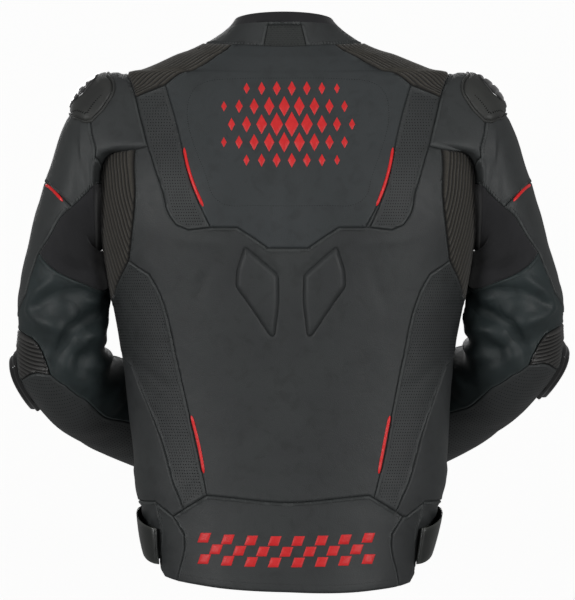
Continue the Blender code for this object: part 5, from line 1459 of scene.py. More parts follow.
def polishedArmour():
    # The same plastic from a polished mould: hard bright highlights, hairline scuffs
    tree, shader = newMaterial("polishedArmour", "101112", 0.16)
    place = objectPlace(tree)
    stretched = addNode(tree, "ShaderNodeMapping", {"Scale": (1.0, 0.25, 3.0)}, {"Vector": place})
    scuff = noiseAt(tree, stretched.outputs["Vector"], 4.0, 6.0)
    tree.links.new(spread(tree, scuff, 0.12, 0.30, 0.4, 0.75), shader.inputs["Roughness"])
    tree.links.new(blendColours(tree, "0a0a0b", "151617", spread(tree, scuff, 0.0, 1.0)),
                   shader.inputs["Base Color"])
    shader.inputs["Coat Weight"].default_value = 0.5
    shader.inputs["Coat Roughness"].default_value = 0.08


def redLeather(name, base, light, rough):
    # Red-pigmented leather: even colour with a slight grain and a soft gloss
    tree, shader = newMaterial(name, base, rough)
    place = objectPlace(tree)
    tone = noiseAt(tree, place, 9, 4.0)
    pores = addNode(tree, "ShaderNodeTexVoronoi", {"Scale": perMillimetre(2.0)}, {"Vector": place},
                    feature="DISTANCE_TO_EDGE")
    tree.links.new(blendColours(tree, base, light, spread(tree, tone, 0.0, 1.0)),
                   shader.inputs["Base Color"])
    bumpChain(tree, shader, ((spread(tree, pores.outputs["Distance"], 0.0, 1.0, 0.0, 0.2), 0.3, 0.2),))


def sewnThread():
    # Bonded polyester sewing thread: dark grey, slightly glossy, with a twist too fine to see
    tree, shader = newMaterial("sewnThread", "1b1c1c", 0.5)
    place = objectPlace(tree)
    twist = noiseAt(tree, place, 1.0)
    tree.links.new(blendColours(tree, "141515", "2a2b2b", spread(tree, twist, 0.0, 1.0)),
                   shader.inputs["Base Color"])


def punchedHole():
    # The shadow inside a punched hole: black, no shine
    tree, shader = newMaterial("punchedHole", "0a0a0a", 1.0)
    place = objectPlace(tree)
    tone = noiseAt(tree, place, 6)
    tree.links.new(blendColours(tree, "060606", "101010", spread(tree, tone, 0.0, 1.0)),
                   shader.inputs["Base Color"])
    shader.inputs["Specular IOR Level"].default_value = 0.0


def gunMetal():
    # Die-cast zinc, black nickel plated: dark, smooth, handled bright at the edges
    tree, shader = newMaterial("gunMetal", "4a4a4d", 0.3, 1.0)
    place = objectPlace(tree)
    rub = noiseAt(tree, place, 3.5, 5.0)
    tree.links.new(spread(tree, rub, 0.22, 0.42), shader.inputs["Roughness"])
    tree.links.new(blendColours(tree, "3c3c40", "6a6a6e", spread(tree, rub, 0.0, 1.0, 0.4, 0.7)),
                   shader.inputs["Base Color"])


def zipTapeWeave():
    # Woven polyester tape: plain weave, 1.6 mm ribs across
    tree, shader = newMaterial("zipTapeWeave", "17181a", 0.85)
    cloth = addNode(tree, "ShaderNodeUVMap", uv_map="layout").outputs["UV"]
    weave = addNode(tree, "ShaderNodeTexWave", {"Scale": perMillimetre(1.6) / 20, "Distortion": 0.2},
                    {"Vector": cloth}, bands_direction="Y")
    tree.links.new(blendColours(tree, "101113", "1e1f22", weave.outputs["Fac"]), shader.inputs["Base Color"])
    bumpChain(tree, shader, ((weave.outputs["Fac"], 0.4, 0.3),))


for make in (ribbedKnit, foldedLeather, stretchWeave, airMesh, softTouchArmour, polishedArmour, sewnThread,
             punchedHole,
             gunMetal, zipTapeWeave):
    make()
redLeather("redPiping", "e0181c", "f02a2c", 0.35)
redLeather("redPanelLeather", "d81a1e", "e62a2c", 0.46)
print("materials ready")

# Cloth panels: each is a thin wall over its part of the shell, standing in for its CAD node
walls = {"leather": 1.6, "stretch": 1.3, "double": 2.1, "gap": 0.15, "innerGap": 0.02}
panelFinish = {
    # stem: material, wall, slot
    "back_lower": ("pigmentedCowhide", "leather", "leather"),
    "back_upper": ("backCowhide", "leather", "leather"),
    "back_perforated": ("pigmentedCowhide", "leather", "perforated"),
    "side_perforated": ("pigmentedCowhide", "leather", "perforated"),
    "forearm_perforated": ("pigmentedCowhide", "leather", "perforated"),
    "sleeve_lower": ("softCowhide", "leather", "dark_leather"),
    "forearm_inner": ("softCowhide", "leather", "dark_leather"),
    "sleeve_front": ("softCowhide", "leather", "dark_leather"),
    "shoulder_yoke": ("ribbedKnit", "stretch", "rib"),
    "side_rib": ("ribbedKnit", "stretch", "rib"),
    "elbow_ribs": ("foldedLeather", "stretch", "rib"),
    "underarm": ("stretchWeave", "leather", "stretch"),
    "collar_band": ("stretchWeave", "double", "stretch"),
    "collar_insert": ("airMesh", "double", "perforated"),
    "collar_leather": ("pigmentedCowhide", "double", "leather"),
    "hem_back": ("pigmentedCowhide", "double", "leather"),
    "hem_side": ("pigmentedCowhide", "double", "leather"),
    "zip_tape": ("zipTapeWeave", "leather", "tape"),
}
# Lighter colour on the ridge about 2 mm beside each seam, on the folded-over side: partly rub wear, partly a
# painted highlight
seamWear = (0.5 * np.exp(-(((seamFar - 2.0) / 0.9) ** 2)) * overShare)[same]
# Each rib point's height, 0 in a valley and 1 on a crest; the rib materials paint shade in the valleys and
# light on the crests from it
ribLevel = np.zeros(len(points))
for i in np.nonzero(ribbed)[0]:
    _, index, gap = ribTree.find(points[i])
    if gap < 0.03:
        ribLevel[i] = ribPoints[index][1] / (ribs["foldHigh"] if vertexKey[i] != "body" else ribs["high"])
ribLevel = ribLevel[same]


def makeObject(name, verts, tris, material, smooth=55.0):
    mesh = bpy.data.meshes.new(name)
    mesh.from_pydata((np.asarray(verts) * mm).tolist(), [], np.asarray(tris).tolist())
    mesh.materials.append(finish[material])
    mesh.shade_smooth()
    mesh.set_sharp_from_angle(angle=math.radians(smooth))
    made = bpy.data.objects.new(name, mesh)
    bpy.context.scene.collection.objects.link(made)
    return made


def paintAttribute(obj, name, values):
    layer = obj.data.attributes.new(name, "FLOAT", "POINT")
    layer.data.foreach_set("value", np.asarray(values, np.float32))


def paintLayout(obj, places):
    # UV in metres of layout
    layer = obj.data.uv_layers.new(name="layout")
    corner = np.zeros(len(obj.data.loops), np.int32)
    obj.data.loops.foreach_get("vertex_index", corner)
    layer.data.foreach_set("uv", (places[corner] * mm).astype(np.float32).ravel())


def wallOver(name, tris, flatTris, material, wall):
    index, corner = np.unique(tris, return_inverse=True)
    corner = corner.reshape(-1, 3)
    place = np.zeros((len(index), 2))
    place[corner.ravel()] = flats[flatTris.ravel()]
    p, n = points[index], normals[index]
    pairs = np.concatenate([corner[:, [0, 1]], corner[:, [1, 2]], corner[:, [2, 0]]])
    known = set(map(tuple, pairs.tolist()))
    border = [(i, j) for i, j in pairs.tolist() if (j, i) not in known]
    sides = np.zeros_like(p)
    for i, j in border:
        side = np.cross(n[i] + n[j], p[j] - p[i])
        side = side / max(np.linalg.norm(side), 1e-9)
        sides[i] += side
        sides[j] += side
    size = np.linalg.norm(sides, axis=1)
    sides = sides / np.maximum(size, 1e-9)[:, None] * np.minimum(2 / np.maximum(size, 1), 1.6)[:, None]
    top = p + sides * walls["gap"] + n * height[index][:, None]
    follow = 0 if "rib" in name or "yoke" in name else 0.6
    low = np.minimum(height[index], 0) * 0.5 + np.maximum(height[index], 0) * follow
    bottom = p + sides * walls["innerGap"] + n * (low - walls[wall])[:, None]
    count = len(index)
    out = corner.tolist() + (corner[:, ::-1] + count).tolist()
    for i, j in border:
        out += [(j, i, i + count), (j, i + count, j + count)]
    made = makeObject(name, np.concatenate([top, bottom]), out, material)
    paintAttribute(made, "seamWear", np.concatenate([seamWear[index], seamWear[index] * 0]))
    paintAttribute(made, "ribLevel", np.concatenate([ribLevel[index], ribLevel[index] * 0 + 0.3]))
    paintLayout(made, np.concatenate([place, place]))
    area = np.linalg.norm(np.cross(top[corner[:, 1]] - top[corner[:, 0]],
                                   top[corner[:, 2]] - top[corner[:, 0]]), axis=1)
    return made, top, corner, area.sum() / 2 * mm * mm, place


def flatSize(surface, radius, place, corner, area):
    # the smallest rectangle that holds the piece laid flat: its layout at its mean metric, brought to the
    # area of its outer face
    around = 2 * math.pi * radius
    inOrder = np.sort(place[:, 0])
    widest = int(np.diff(inOrder).argmax())
    if inOrder[widest + 1] - inOrder[widest] > around / 4:
        place = place + np.stack([np.where(place[:, 0] <= inOrder[widest], around, 0), place[:, 1] * 0],
                                 axis=1)
    laid = place * metric(surface, place[::5]).mean(axis=0)
    ahead, beside = laid[corner[:, 1]] - laid[corner[:, 0]], laid[corner[:, 2]] - laid[corner[:, 0]]
    drawn = np.abs(ahead[:, 0] * beside[:, 1] - ahead[:, 1] * beside[:, 0]) / 2
    drawn = drawn[np.ptp(laid[corner][:, :, 0], axis=1) < around / 4].sum()
    laid = laid * math.sqrt(area / drawn)
    sizes = []
    for angle in np.radians(np.arange(90)):
        turned = laid @ np.array([[math.cos(angle), -math.sin(angle)], [math.sin(angle), math.cos(angle)]])
        sizes.append(np.ptp(turned, axis=0))
    wide, long = min(sizes, key=np.prod)
    return math.ceil(wide * 1e4) / 1e4, math.ceil(long * 1e4) / 1e4


surfaces = {
    "body": (body, torsoTurn), "collar": (collar, torsoTurn),
    "left": (sleeveLeft, sleeveTurn), "right": (sleeveRight, sleeveTurn),
}
panelObjects, skinVerts, skinTris, skinCount = {}, [], [], 0
for name in sorted(set(names)):
    mine = names == name
    material, wall, slot = panelFinish.get(stemOf(name), ("pigmentedCowhide", "leather", "leather"))
    piece, top, corner, area, place = wallOver(name + "_cloth", shell[mine], faces[mine], material, wall)
    panelObjects[name] = (piece, area, flatSize(*surfaces[keys[mine][0]], place, corner, area), slot)
    skinVerts.append(top)
    skinTris.append(corner + skinCount)
    skinCount += len(top)
skinVerts, skinTris = np.concatenate(skinVerts), np.concatenate(skinTris)
skin = BVHTree.FromPolygons(skinVerts.tolist(), skinTris.tolist())
skinNormals = angleNormals(skinVerts, skinTris, len(skinVerts))
print("cloth walls made,", len(panelObjects), "panels")


def onSkin(places, reach=12.0):
    # nearest place and outward direction on the finished leather
    spots, outs = [], []
    for p in places:
        spot, _, index, _ = skin.find_nearest(p, reach)
        if spot is None:
            spots.append(p)
            outs.append((0, 0, 0))
            continue
        a, b, c = skinTris[index]
        spots.append(spot)
        outs.append(skinNormals[a] + skinNormals[b] + skinNormals[c])
    outs = np.array(outs, float)
    return np.array(spots, float), unit(outs)


# What repeats is scattered by Geometry Nodes from points that carry their own directions
def scatterTree(name, shape, shapeValues):
    tree = bpy.data.node_groups.new(name, "GeometryNodeTree")
    tree.interface.new_socket("Geometry", in_out="INPUT", socket_type="NodeSocketGeometry")
    for label in ("Length", "Width", "Height"):
        socket = tree.interface.new_socket(label, in_out="INPUT", socket_type="NodeSocketFloat")
        socket.default_value = 0.001
    tree.interface.new_socket("Material", in_out="INPUT", socket_type="NodeSocketMaterial")
    tree.interface.new_socket("Geometry", in_out="OUTPUT", socket_type="NodeSocketGeometry")
    given = addNode(tree, "NodeGroupInput").outputs
    unit = addNode(tree, shape, shapeValues)
    size = addNode(tree, "ShaderNodeCombineXYZ",
                   links={"X": given["Length"], "Y": given["Width"], "Z": given["Height"]})
    sized = addNode(tree, "GeometryNodeTransform",
                    links={"Geometry": unit.outputs["Mesh"], "Scale": size.outputs["Vector"]})
    out = addNode(tree, "GeometryNodeInputNamedAttribute", {"Name": "out"}, data_type="FLOAT_VECTOR")
    along = addNode(tree, "GeometryNodeInputNamedAttribute", {"Name": "along"}, data_type="FLOAT_VECTOR")
    turn = addNode(tree, "FunctionNodeAxesToRotation", primary_axis="Z", secondary_axis="X",
                   links={"Primary Axis": out.outputs["Attribute"],
                          "Secondary Axis": along.outputs["Attribute"]})
    placed = addNode(tree, "GeometryNodeInstanceOnPoints", links={
        "Points": given["Geometry"], "Instance": sized.outputs["Geometry"],
        "Rotation": turn.outputs["Rotation"]})
    real = addNode(tree, "GeometryNodeRealizeInstances", links={"Geometry": placed.outputs["Instances"]})
    painted = addNode(tree, "GeometryNodeSetMaterial",
                      links={"Geometry": real.outputs["Geometry"], "Material": given["Material"]})
    addNode(tree, "NodeGroupOutput", links={"Geometry": painted.outputs["Geometry"]})
    return tree


def scatter(name, tree, spots, outs, alongs, size, material, smooth=True):
    # size: length along, width across, height out, mm
    carrier = bpy.data.meshes.new(name + "_points")
    carrier.from_pydata((np.asarray(spots) * mm).tolist(), [], [])
    for label, values in (("out", outs), ("along", alongs)):
        layer = carrier.attributes.new(label, "FLOAT_VECTOR", "POINT")
        layer.data.foreach_set("vector", np.asarray(values, np.float32).ravel())
    holder = bpy.data.objects.new(name + "_points", carrier)
    bpy.context.scene.collection.objects.link(holder)
    nodes = holder.modifiers.new("scatter", "NODES")
    nodes.node_group = tree
    ids = {item.name: item.identifier for item in tree.interface.items_tree if item.in_out == "INPUT"}
    for label, value in zip(("Length", "Width", "Height"), size):
        nodes[ids[label]] = float(value * mm)
    nodes[ids["Material"]] = finish[material]
    graph = bpy.context.evaluated_depsgraph_get()
    mesh = bpy.data.meshes.new_from_object(holder.evaluated_get(graph))
    holder.modifiers.remove(nodes)
    bpy.data.objects.remove(holder)
    for label in ("out", "along"):
        if label in mesh.attributes:
            mesh.attributes.remove(mesh.attributes[label])
    if smooth:
        mesh.shade_smooth()
    mesh.name = name
    made = bpy.data.objects.new(name, mesh)
    bpy.context.scene.collection.objects.link(made)
    return made


stitchTree = scatterTree("stitchScatter", "GeometryNodeMeshIcoSphere", {"Radius": 0.5, "Subdivisions": 1})
holeTree = scatterTree("holeScatter", "GeometryNodeMeshCylinder",
                       {"Vertices": 6, "Radius": 0.5, "Depth": 1.0})
toothTree = scatterTree("toothScatter", "GeometryNodeMeshCube", {"Size": (1.0, 1.0, 1.0)})

# Stitches: a row on each leather side of every seam, and where the leather is sewn to ribs or stretch
sewing = {"fromSeam": 4.0, "pitch": 3.3, "long": 2.1, "thick": 0.62, "high": 0.42, "clear": 3.2,
          "fromEdge": 9.5,
          "clearOfEdge": 6.0}
noStitches = ribbedNames + ["zip_tape", "underarm_left", "underarm_right", "collar_band"]


def alongRun(surface, run, pitch):
    # layout places at an even pitch along a run, with the run's direction there
    run = np.array(run)
    p = surface(run[:, 0], run[:, 1])
    length = lengthsAlong(p)
    at = np.arange(pitch / 2, length[-1], pitch)
    if not len(at):
        return np.zeros((0, 2)), np.zeros((0, 2))
    spots = np.stack([np.interp(at, length, run[:, k]) for k in (0, 1)], axis=1)
    ahead = np.stack([np.interp(at + 0.5, length, run[:, k]) for k in (0, 1)], axis=1)
    behind = np.stack([np.interp(at - 0.5, length, run[:, k]) for k in (0, 1)], axis=1)
    return spots, ahead - behind


def seamStitches(cut, runs, gaps, clear):
    spots, ways = [], []
    for run in runs:
        at, way = alongRun(cut.surface, run, sewing["pitch"])
        if not len(at):
            continue
        scale = metric(cut.surface, at)
        real = way * scale
        side = np.stack([-real[:, 1], real[:, 0]], axis=1) / np.maximum(np.hypot(*real.T), 1e-9)[:, None]
        for gap in gaps:
            for sign in (1, -1):
                beside = at + side * sign * gap / np.maximum(scale, 1e-6)
                u0, u1, v0, v1 = cut.bounds
                ok = ((beside > [u0, v0]) & (beside < [u1, v1])).all(axis=1)
                ok &= ~np.isin(cut.label(beside).astype(str), noStitches + ["armhole", "outside"])
                if not ok.any():
                    continue
                here = cut.surface(beside[ok, 0], beside[ok, 1])
                fromSeam = distances(seamTree, here)
                keep = np.minimum(fromSeam, distances(edgeTree, here)) > clear
                facing = np.array([pointRank[onSeam[onSeamTree.find(p)[1]]] for p in here])
                keep &= (fromSeam > foldReach) | (foldRank(cut.label(beside[ok]).astype(str)) >= facing)
                tip = beside[ok] + way[ok] * 0.2
                spots += list(here[keep])
                ways += list((cut.surface(tip[:, 0], tip[:, 1]) - here)[keep])
    return spots, ways


def sewRows():
    spots, ways = [], []
    for cut in (bodyCut, collarCut, leftCut, rightCut):
        found = seamStitches(cut, cut.seamRuns, (sewing["fromSeam"],), sewing["clear"])
        spots += found[0]
        ways += found[1]
        found = seamStitches(cut, cut.edgeRuns, (sewing["fromEdge"],), sewing["clearOfEdge"])
        spots += found[0]
        ways += found[1]
    places, outs = onSkin(spots)
    return places, outs, np.array(ways)


stitchPlaces, stitchOuts, stitchWays = sewRows()


frameSewing = {"pitch": 3.0, "long": 1.5, "thick": 0.5, "high": 0.25}


def panelStitches():
    # the fine rounded frame sewn on the upper back
    corners = ((0, -38), (68, -39), (95, -42), (108, -49), (116, -65), (94, -155), (87, -175), (74, -185),
               (40, -186.5),
               (0, -187))
    half = [bodyPlace("back", x, z) for x, z in corners]
    ring = half + mirrored(half)[1:-1]
    dense = smoothOutline(body, ring, edgeStep, {}, 100)
    at, way = alongRun(body, dense + dense[:1], frameSewing["pitch"])
    here = body(at[:, 0], at[:, 1])
    return here, body(at[:, 0] + way[:, 0] * 0.2, at[:, 1] + way[:, 1] * 0.2) - here


framePlaces, frameWays = panelStitches()
frameSpots, frameOuts = onSkin(framePlaces)
sewingPiece = scatter("seam_stitches", stitchTree, stitchPlaces, stitchOuts, stitchWays,
                      (sewing["long"], sewing["thick"], sewing["high"]), "sewnThread")
# The frame's stitches are black dots in the hole-shadow material: the dark thread and painted shade in its
# stitch holes
framePiece = scatter("back_frame_stitches", stitchTree, frameSpots, frameOuts, frameWays,
                     (frameSewing["long"], frameSewing["thick"], frameSewing["high"]), "punchedHole")
print("stitches", len(stitchPlaces) + len(frameSpots))

# Punched holes: rows 3.4 mm apart in the perforated panels. Each hole is a black disc on the leather, the
# painted shadow inside the hole
punch = {"pitch": 3.4, "wide": 1.25, "deep": 0.5, "proud": 0.06, "margin": 5.0, "backTilt": 16,
         "sideTilt": 14}


def punchPanel(cut, name, tilt):
    # a square grid on the panel's own layout, at its real size along the panel's middle
    polygon = np.concatenate([np.asarray(p) for n, p in cut.panels if n == name])
    u0, v0 = polygon.min(axis=0)
    u1, v1 = polygon.max(axis=0)
    v0, v1 = max(v0, cut.bounds[2]), min(v1, cut.bounds[3])
    spots = []
    rows = int((v1 - v0) / punch["pitch"] * 1.25)
    for j in range(rows):
        v = v0 + j * punch["pitch"]
        if v > v1:
            break
        middle = np.array([[(u0 + u1) / 2, v]])
        scale = metric(cut.surface, middle)[0][0]
        lean = math.tan(math.radians(tilt)) * (v - v0) / max(scale, 0.2)
        pitch = punch["pitch"] / max(scale, 0.2)
        centre = (u0 + u1) / 2 + lean
        count = int((u1 - u0) / pitch) + 24
        spots += [(centre + (i - count / 2) * pitch, v) for i in range(count)]
    spots = np.array(spots)
    ok = cut.label(spots).astype(str) == name
    ok &= (spots[:, 0] > cut.bounds[0]) & (spots[:, 0] < cut.bounds[1])
    spots = spots[ok]
    real = cut.surface(spots[:, 0], spots[:, 1])
    far = np.minimum(distances(seamTree, real), distances(edgeTree, real))
    return real[far > punch["margin"]]


def punchHoles():
    found = []
    for side, sleeve, sign in (("left", leftCut, 1), ("right", rightCut, -1)):
        found.append(punchPanel(bodyCut, "back_perforated_" + side, sign * punch["backTilt"]))
        found.append(punchPanel(bodyCut, "side_perforated_" + side, sign * punch["sideTilt"]))
        found.append(punchPanel(sleeve, "forearm_perforated_" + side, 0))
    return np.concatenate(found)


holeSpots, holeOuts = onSkin(punchHoles())
up = np.cross(np.cross(holeOuts, [0, 0, 1.0]), holeOuts)
holePiece = scatter("perforations", holeTree, holeSpots + holeOuts * (punch["proud"] - punch["deep"] / 2),
                    holeOuts, up,
                    (punch["wide"], punch["wide"], punch["deep"]), "punchedHole", smooth=False)
print("perforations", len(holeSpots))

# Pieces that lie on the leather
def denseRing(surface, ring):
    real = surface(*np.asarray(ring).T)
    out = []
    for a, b in zip(real, np.roll(real, -1, axis=0)):
        parts = max(1, int(np.linalg.norm(b - a) / 0.6))
        out += [a + (b - a) * k / parts for k in range(parts)]
    return treeOf(out)


def patchMesh(surface, polygon, step, insets, grid, sharp):
    # flat points, triangles and distance from the outline
    ring = np.array(smoothOutline(surface, polygon, step, {}, sharp))
    tree = denseRing(surface, ring)
    spots = []
    for inset in insets:
        shape = np.array(shrunk(surface, ring, inset))
        ok = inside(ring, shape)
        ok[ok] = distances(tree, surface(*shape[ok].T)) > inset * 0.86
        spots.append(shape[ok])
    scale = metric(surface, ring.mean(axis=0)[None])[0]
    low, high = ring.min(axis=0), ring.max(axis=0)
    us, vs = (np.arange(low[k], high[k], grid / scale[k]) for k in (0, 1))
    field = np.array([(u + (j % 2) * grid / scale[0] / 2, v) for j, v in enumerate(vs) for u in us])
    ok = inside(ring, field)
    ok[ok] = distances(tree, surface(*field[ok].T)) > (max(insets) if insets else 0) + grid * 0.55
    spots.append(field[ok])
    points = np.concatenate([ring] + spots)
    edges = [(i, (i + 1) % len(ring)) for i in range(len(ring))]
    verts, _, found, _, _, _ = delaunay_2d_cdt([Vector(p) for p in points], edges, [], 0, 1e-4)
    flat = np.array([(v[0], v[1]) for v in verts])
    tris = np.array([f for f in found if len(f) == 3])
    tris = tris[inside(ring, flat[tris].mean(axis=1))]
    return flat, tris, distances(tree, surface(flat[:, 0], flat[:, 1]))


def closedPatch(top, bottom, outs, tris):
    facing = np.cross(top[tris[:, 1]] - top[tris[:, 0]], top[tris[:, 2]] - top[tris[:, 0]])
    if np.sum(facing * outs[tris[:, 0]]) < 0:
        tris = tris[:, ::-1]
    pairs = np.concatenate([tris[:, [0, 1]], tris[:, [1, 2]], tris[:, [2, 0]]]).tolist()
    known = set(map(tuple, pairs))
    size = len(top)
    out = tris.tolist() + (tris[:, ::-1] + size).tolist()
    for i, j in pairs:
        if (j, i) not in known:
            out += [(j, i, i + size), (j, i + size, j + size)]
    return np.concatenate([top, bottom]), out


def patch(surface, polygon, heightOf, foot, insets=(0.4, 1.0), grid=3.0, step=2.0, sharp=40, onLeather=True):
    # the mesh of a piece on the leather; heightOf gives its height from its distance to its outline, its
    # layout place and its real place
    flat, tris, far = patchMesh(surface, polygon, step, insets, grid, sharp)
    base = surface(flat[:, 0], flat[:, 1])
    outs = outward(surface, flat[:, 0], flat[:, 1])
    if onLeather:
        base, outs = onSkin(base)
    top = base + outs * heightOf(far, flat, base)[:, None]
    verts, out = closedPatch(top, base + outs * foot, outs, tris)
    return verts, out, np.concatenate([flat, flat])


def place(piece, node=None, slot=None, bodyName="jacket"):
    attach(piece, bodyName)
    if node:
        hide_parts(*([node] if isinstance(node, str) else node))
    return piece


def joined(parts):
    verts, tris, places, total = [], [], [], 0
    for v, t, f in parts:
        verts.append(v)
        tris.append(np.asarray(t) + total)
        places.append(f)
        total += len(v)
    return np.concatenate(verts), np.concatenate(tris), np.concatenate(places)


def profiled(far, *rows):
    return np.interp(far, [row[0] for row in rows], [row[1] for row in rows])


# Shoulder caps: a soft rolled rim, a groove, a swelling body with a row of slots, and a polished insert
cap = {"foot": -0.3, "grid": 2.4, "slotWide": 1.05, "slotPitch": 2.85, "slotLong": (1.1, 3.3), "vanes": 7.5}
capInsets = (0.6, 1.4, 2.3, 2.9, 3.4, 4.1, 5.4, 7.2, 10)
capProfile = ((0, 0.9), (0.6, 2.0), (1.4, 2.6), (2.3, 2.3), (2.9, 1.1), (3.4, 1.1), (4.1, 2.8), (5.4, 3.6),
              (7.2, 4.3),
              (10, 4.9), (14, 5.3), (22, 5.6))
insertProfile = ((0, 0.1), (0.5, 0.9), (1.3, 1.4), (2.4, 1.6))
capSlots = (("back", 216, -59), ("back", 233.5, -81), ("back", 248, -77.5))


def capHeight(far, flat, base):
    return profiled(far, *capProfile)


capInsert = (
    ("turn", 3, 17.5), ("turn", 16, 21), ("turn", 28, 29), ("turn", 25, 38), ("turn", 17, 44.5),
    ("turn", 5, 51),
    ("turn", -8, 51.5), ("turn", -22, 46), ("turn", -30, 36), ("turn", -26, 25), ("turn", -12, 18),
)


def insertHeight(capTree):
    def found(far, flat, base):
        under = profiled(distances(capTree, base), *capProfile)
        raised = profiled(far, *insertProfile)
        wave = np.cos((flat[:, 1] + flat[:, 0] * 0.18) / cap["vanes"] * 2 * math.pi)
        cut = 1.3 * steps((wave - 0.1) / 0.9) * steps((far - 2.0) / 1.2)
        return under + raised - cut
    return found


def slotPieces(surface, capTree):
    corners = [sleevePlace(*row) for row in capSlots]
    spots, outs, alongs, sizes = [], [], [], []
    for leg, (a, b) in enumerate(zip(corners[:-1], corners[1:])):
        at, way = alongRun(surface, [a, b], cap["slotPitch"])
        for i, (p, w) in enumerate(zip(at, way)):
            share = (i + 0.5) / len(at)
            near = share if leg == 0 else 1 - share
            q = surface(p[:1], p[1:])[0]
            n = outward(surface, p[:1], p[1:])[0]
            along = surface(p[:1] + w[0] * 0.2, p[1:] + w[1] * 0.2)[0] - q
            across = np.cross(n, along)
            lean = across / np.linalg.norm(across) + 0.35 * np.array([0, 0, 1.0])
            spots.append(q + n * float(profiled(distances(capTree, [q]), *capProfile)[0]))
            outs.append(n)
            alongs.append(lean - n * (lean @ n))
            sizes.append(cap["slotLong"][0] + (cap["slotLong"][1] - cap["slotLong"][0]) * near)
    return spots, outs, alongs, sizes


def slotBoxes(spots, outs, alongs, sizes):
    verts, tris = [], []
    for p, n, a, long in zip(spots, outs, alongs, sizes):
        a = a / np.linalg.norm(a)
        c = np.cross(n, a)
        start = len(verts)
        for high in (0.12, -1.0):
            for k in range(8):
                t = 2 * math.pi * (k + 0.5) / 8
                verts.append(p + n * high + a * long / 2 * math.cos(t) + c * cap["slotWide"] / 2
                             * math.sin(t))
        tris += [(start, start + k, start + k + 1) for k in range(1, 7)]
        tris += [(start + 8, start + 9 + k, start + 8 + k) for k in range(1, 7)]
        for k in range(8):
            m = (k + 1) % 8
            tris += [(start + m, start + k, start + 8 + k), (start + m, start + 8 + k, start + 8 + m)]
    return verts, tris


def buildCap(surface, side):
    ring = [sleevePlace(*row) for row in capOutline]
    capTree = denseRing(surface, smoothOutline(surface, ring, 2.0, {}, 40))
    verts, tris, _ = patch(surface, ring, capHeight, cap["foot"], capInsets, cap["grid"], onLeather=False)
    place(makeObject("shoulder_cap_shell_" + side, verts, tris, "softTouchArmour", 60),
          "shoulder_cap_" + side, "armour")
    inner = [sleevePlace(*row) for row in capInsert]
    verts, tris, _ = patch(surface, inner, insertHeight(capTree), 1.0, (0.5, 1.3, 2.4), 1.3, onLeather=False)
    place(makeObject("shoulder_cap_insert_" + side, verts, tris, "polishedArmour", 30), slot="armour")
    # The slots are black boxes set into the cap: painted shade inside the slots
    verts, tris = slotBoxes(*slotPieces(surface, capTree))
    place(makeObject("shoulder_cap_slots_" + side, verts, tris, "punchedHole", 30), slot="armour")


# Elbow sliders: a thick puck with a chamfer, a ring groove and a flat crown
slider = {"foot": -0.3, "grid": 2.4}
sliderProfile = ((0, 2.6), (0.4, 3.6), (1.6, 4.4), (2.6, 4.5), (3.2, 3.6), (3.9, 3.6), (4.6, 6.0), (6.2, 8.1),
                 (7.4, 8.7), (16, 9.1))


def buildSlider(surface, side):
    ring = [sleevePlace(*row) for row in sliderOutline]
    verts, tris, _ = patch(surface, ring, lambda far, flat, base: profiled(far, *sliderProfile),
                           slider["foot"],
                           (0.4, 1.6, 2.6, 3.2, 3.9, 4.6, 6.2, 7.4), slider["grid"], onLeather=False)
    place(makeObject("elbow_slider_puck_" + side, verts, tris, "polishedArmour", 40), "elbow_slider_" + side,
          "armour")


for surface, side in ((sleeveLeft, "left"), (sleeveRight, "right")):
    buildCap(surface, side)
    buildSlider(surface, side)
print("armour made")

# Red piping: a covered cord laid along each seam, thinner at its ends
pipe = {"wide": 3.7, "high": 2.4, "sides": 12, "sink": 0.25, "taper": 4.5, "pitch": 1.6}
pipeTable = {
    "back": ((121.0, -117), (97.0, -190)), "hem": ((112.9, -428), (97.3, -500)),
    "sleeve": ((284.5, -161), (261, -183)),
}


def pipeAlong(surface, run):
    at, _ = alongRun(surface, run, pipe["pitch"])
    spots, outs = onSkin(surface(at[:, 0], at[:, 1]))
    outs = np.array([outs[max(0, i - 3):i + 4].mean(axis=0) for i in range(len(outs))])
    outs = outs / np.linalg.norm(outs, axis=1)[:, None]
    spots = np.array([spots[max(0, i - 2):i + 3].mean(axis=0) for i in range(len(spots))])
    length = lengthsAlong(spots)
    ends = np.minimum(length, length[-1] - length)
    full = np.sqrt(np.clip(ends / pipe["taper"], 0.03, 1))
    along = np.gradient(spots, axis=0)
    across = np.cross(outs, along)
    across = across / np.linalg.norm(across, axis=1)[:, None]
    verts, tris, sides = [], [], pipe["sides"]
    for p, n, c, f in zip(spots, outs, across, full):
        for k in range(sides):
            t = 2 * math.pi * k / sides
            verts.append(p + c * math.cos(t) * pipe["wide"] / 2 * f
                         + n * (pipe["sink"] + math.sin(t) * pipe["high"] / 2 * f))
    for i in range(len(spots) - 1):
        for k in range(sides):
            m = (k + 1) % sides
            a, b = i * sides, (i + 1) * sides
            tris += [(a + k, b + k, b + m), (a + k, b + m, a + m)]
    last = (len(spots) - 1) * sides
    tris += [(0, k, k + 1) for k in range(1, sides - 1)] + [(last, last + k + 1, last + k)
                                                            for k in range(1, sides - 1)]
    verts, tris = np.array(verts), np.array(tris)
    a, b, c = (verts[tris[:, k]] for k in range(3))
    if np.sum(np.cross(b - a, c - a) * ((a + b + c) / 3 - spots.mean(axis=0))) < 0:
        tris = tris[:, ::-1]
    return verts, tris


for label, ends in pipeTable.items():
    for side, mirror in (("left", 1), ("right", -1)):
        if label == "sleeve":
            surface = sleeveLeft if side == "left" else sleeveRight
            run = [sleevePlace("back", *end) for end in ends]
        else:
            surface = body
            run = [(mirror * u, v) for u, v in (bodyPlace("back", *end) for end in ends)]
        run = [tuple(np.array(run[0]) * (1 - k / 12) + np.array(run[1]) * k / 12) for k in range(13)]
        verts, tris = pipeAlong(surface, run)
        place(makeObject("piping_cord_" + label + "_" + side, verts, tris, "redPiping", 60),
              "piping_" + label + "_" + side, "piping")

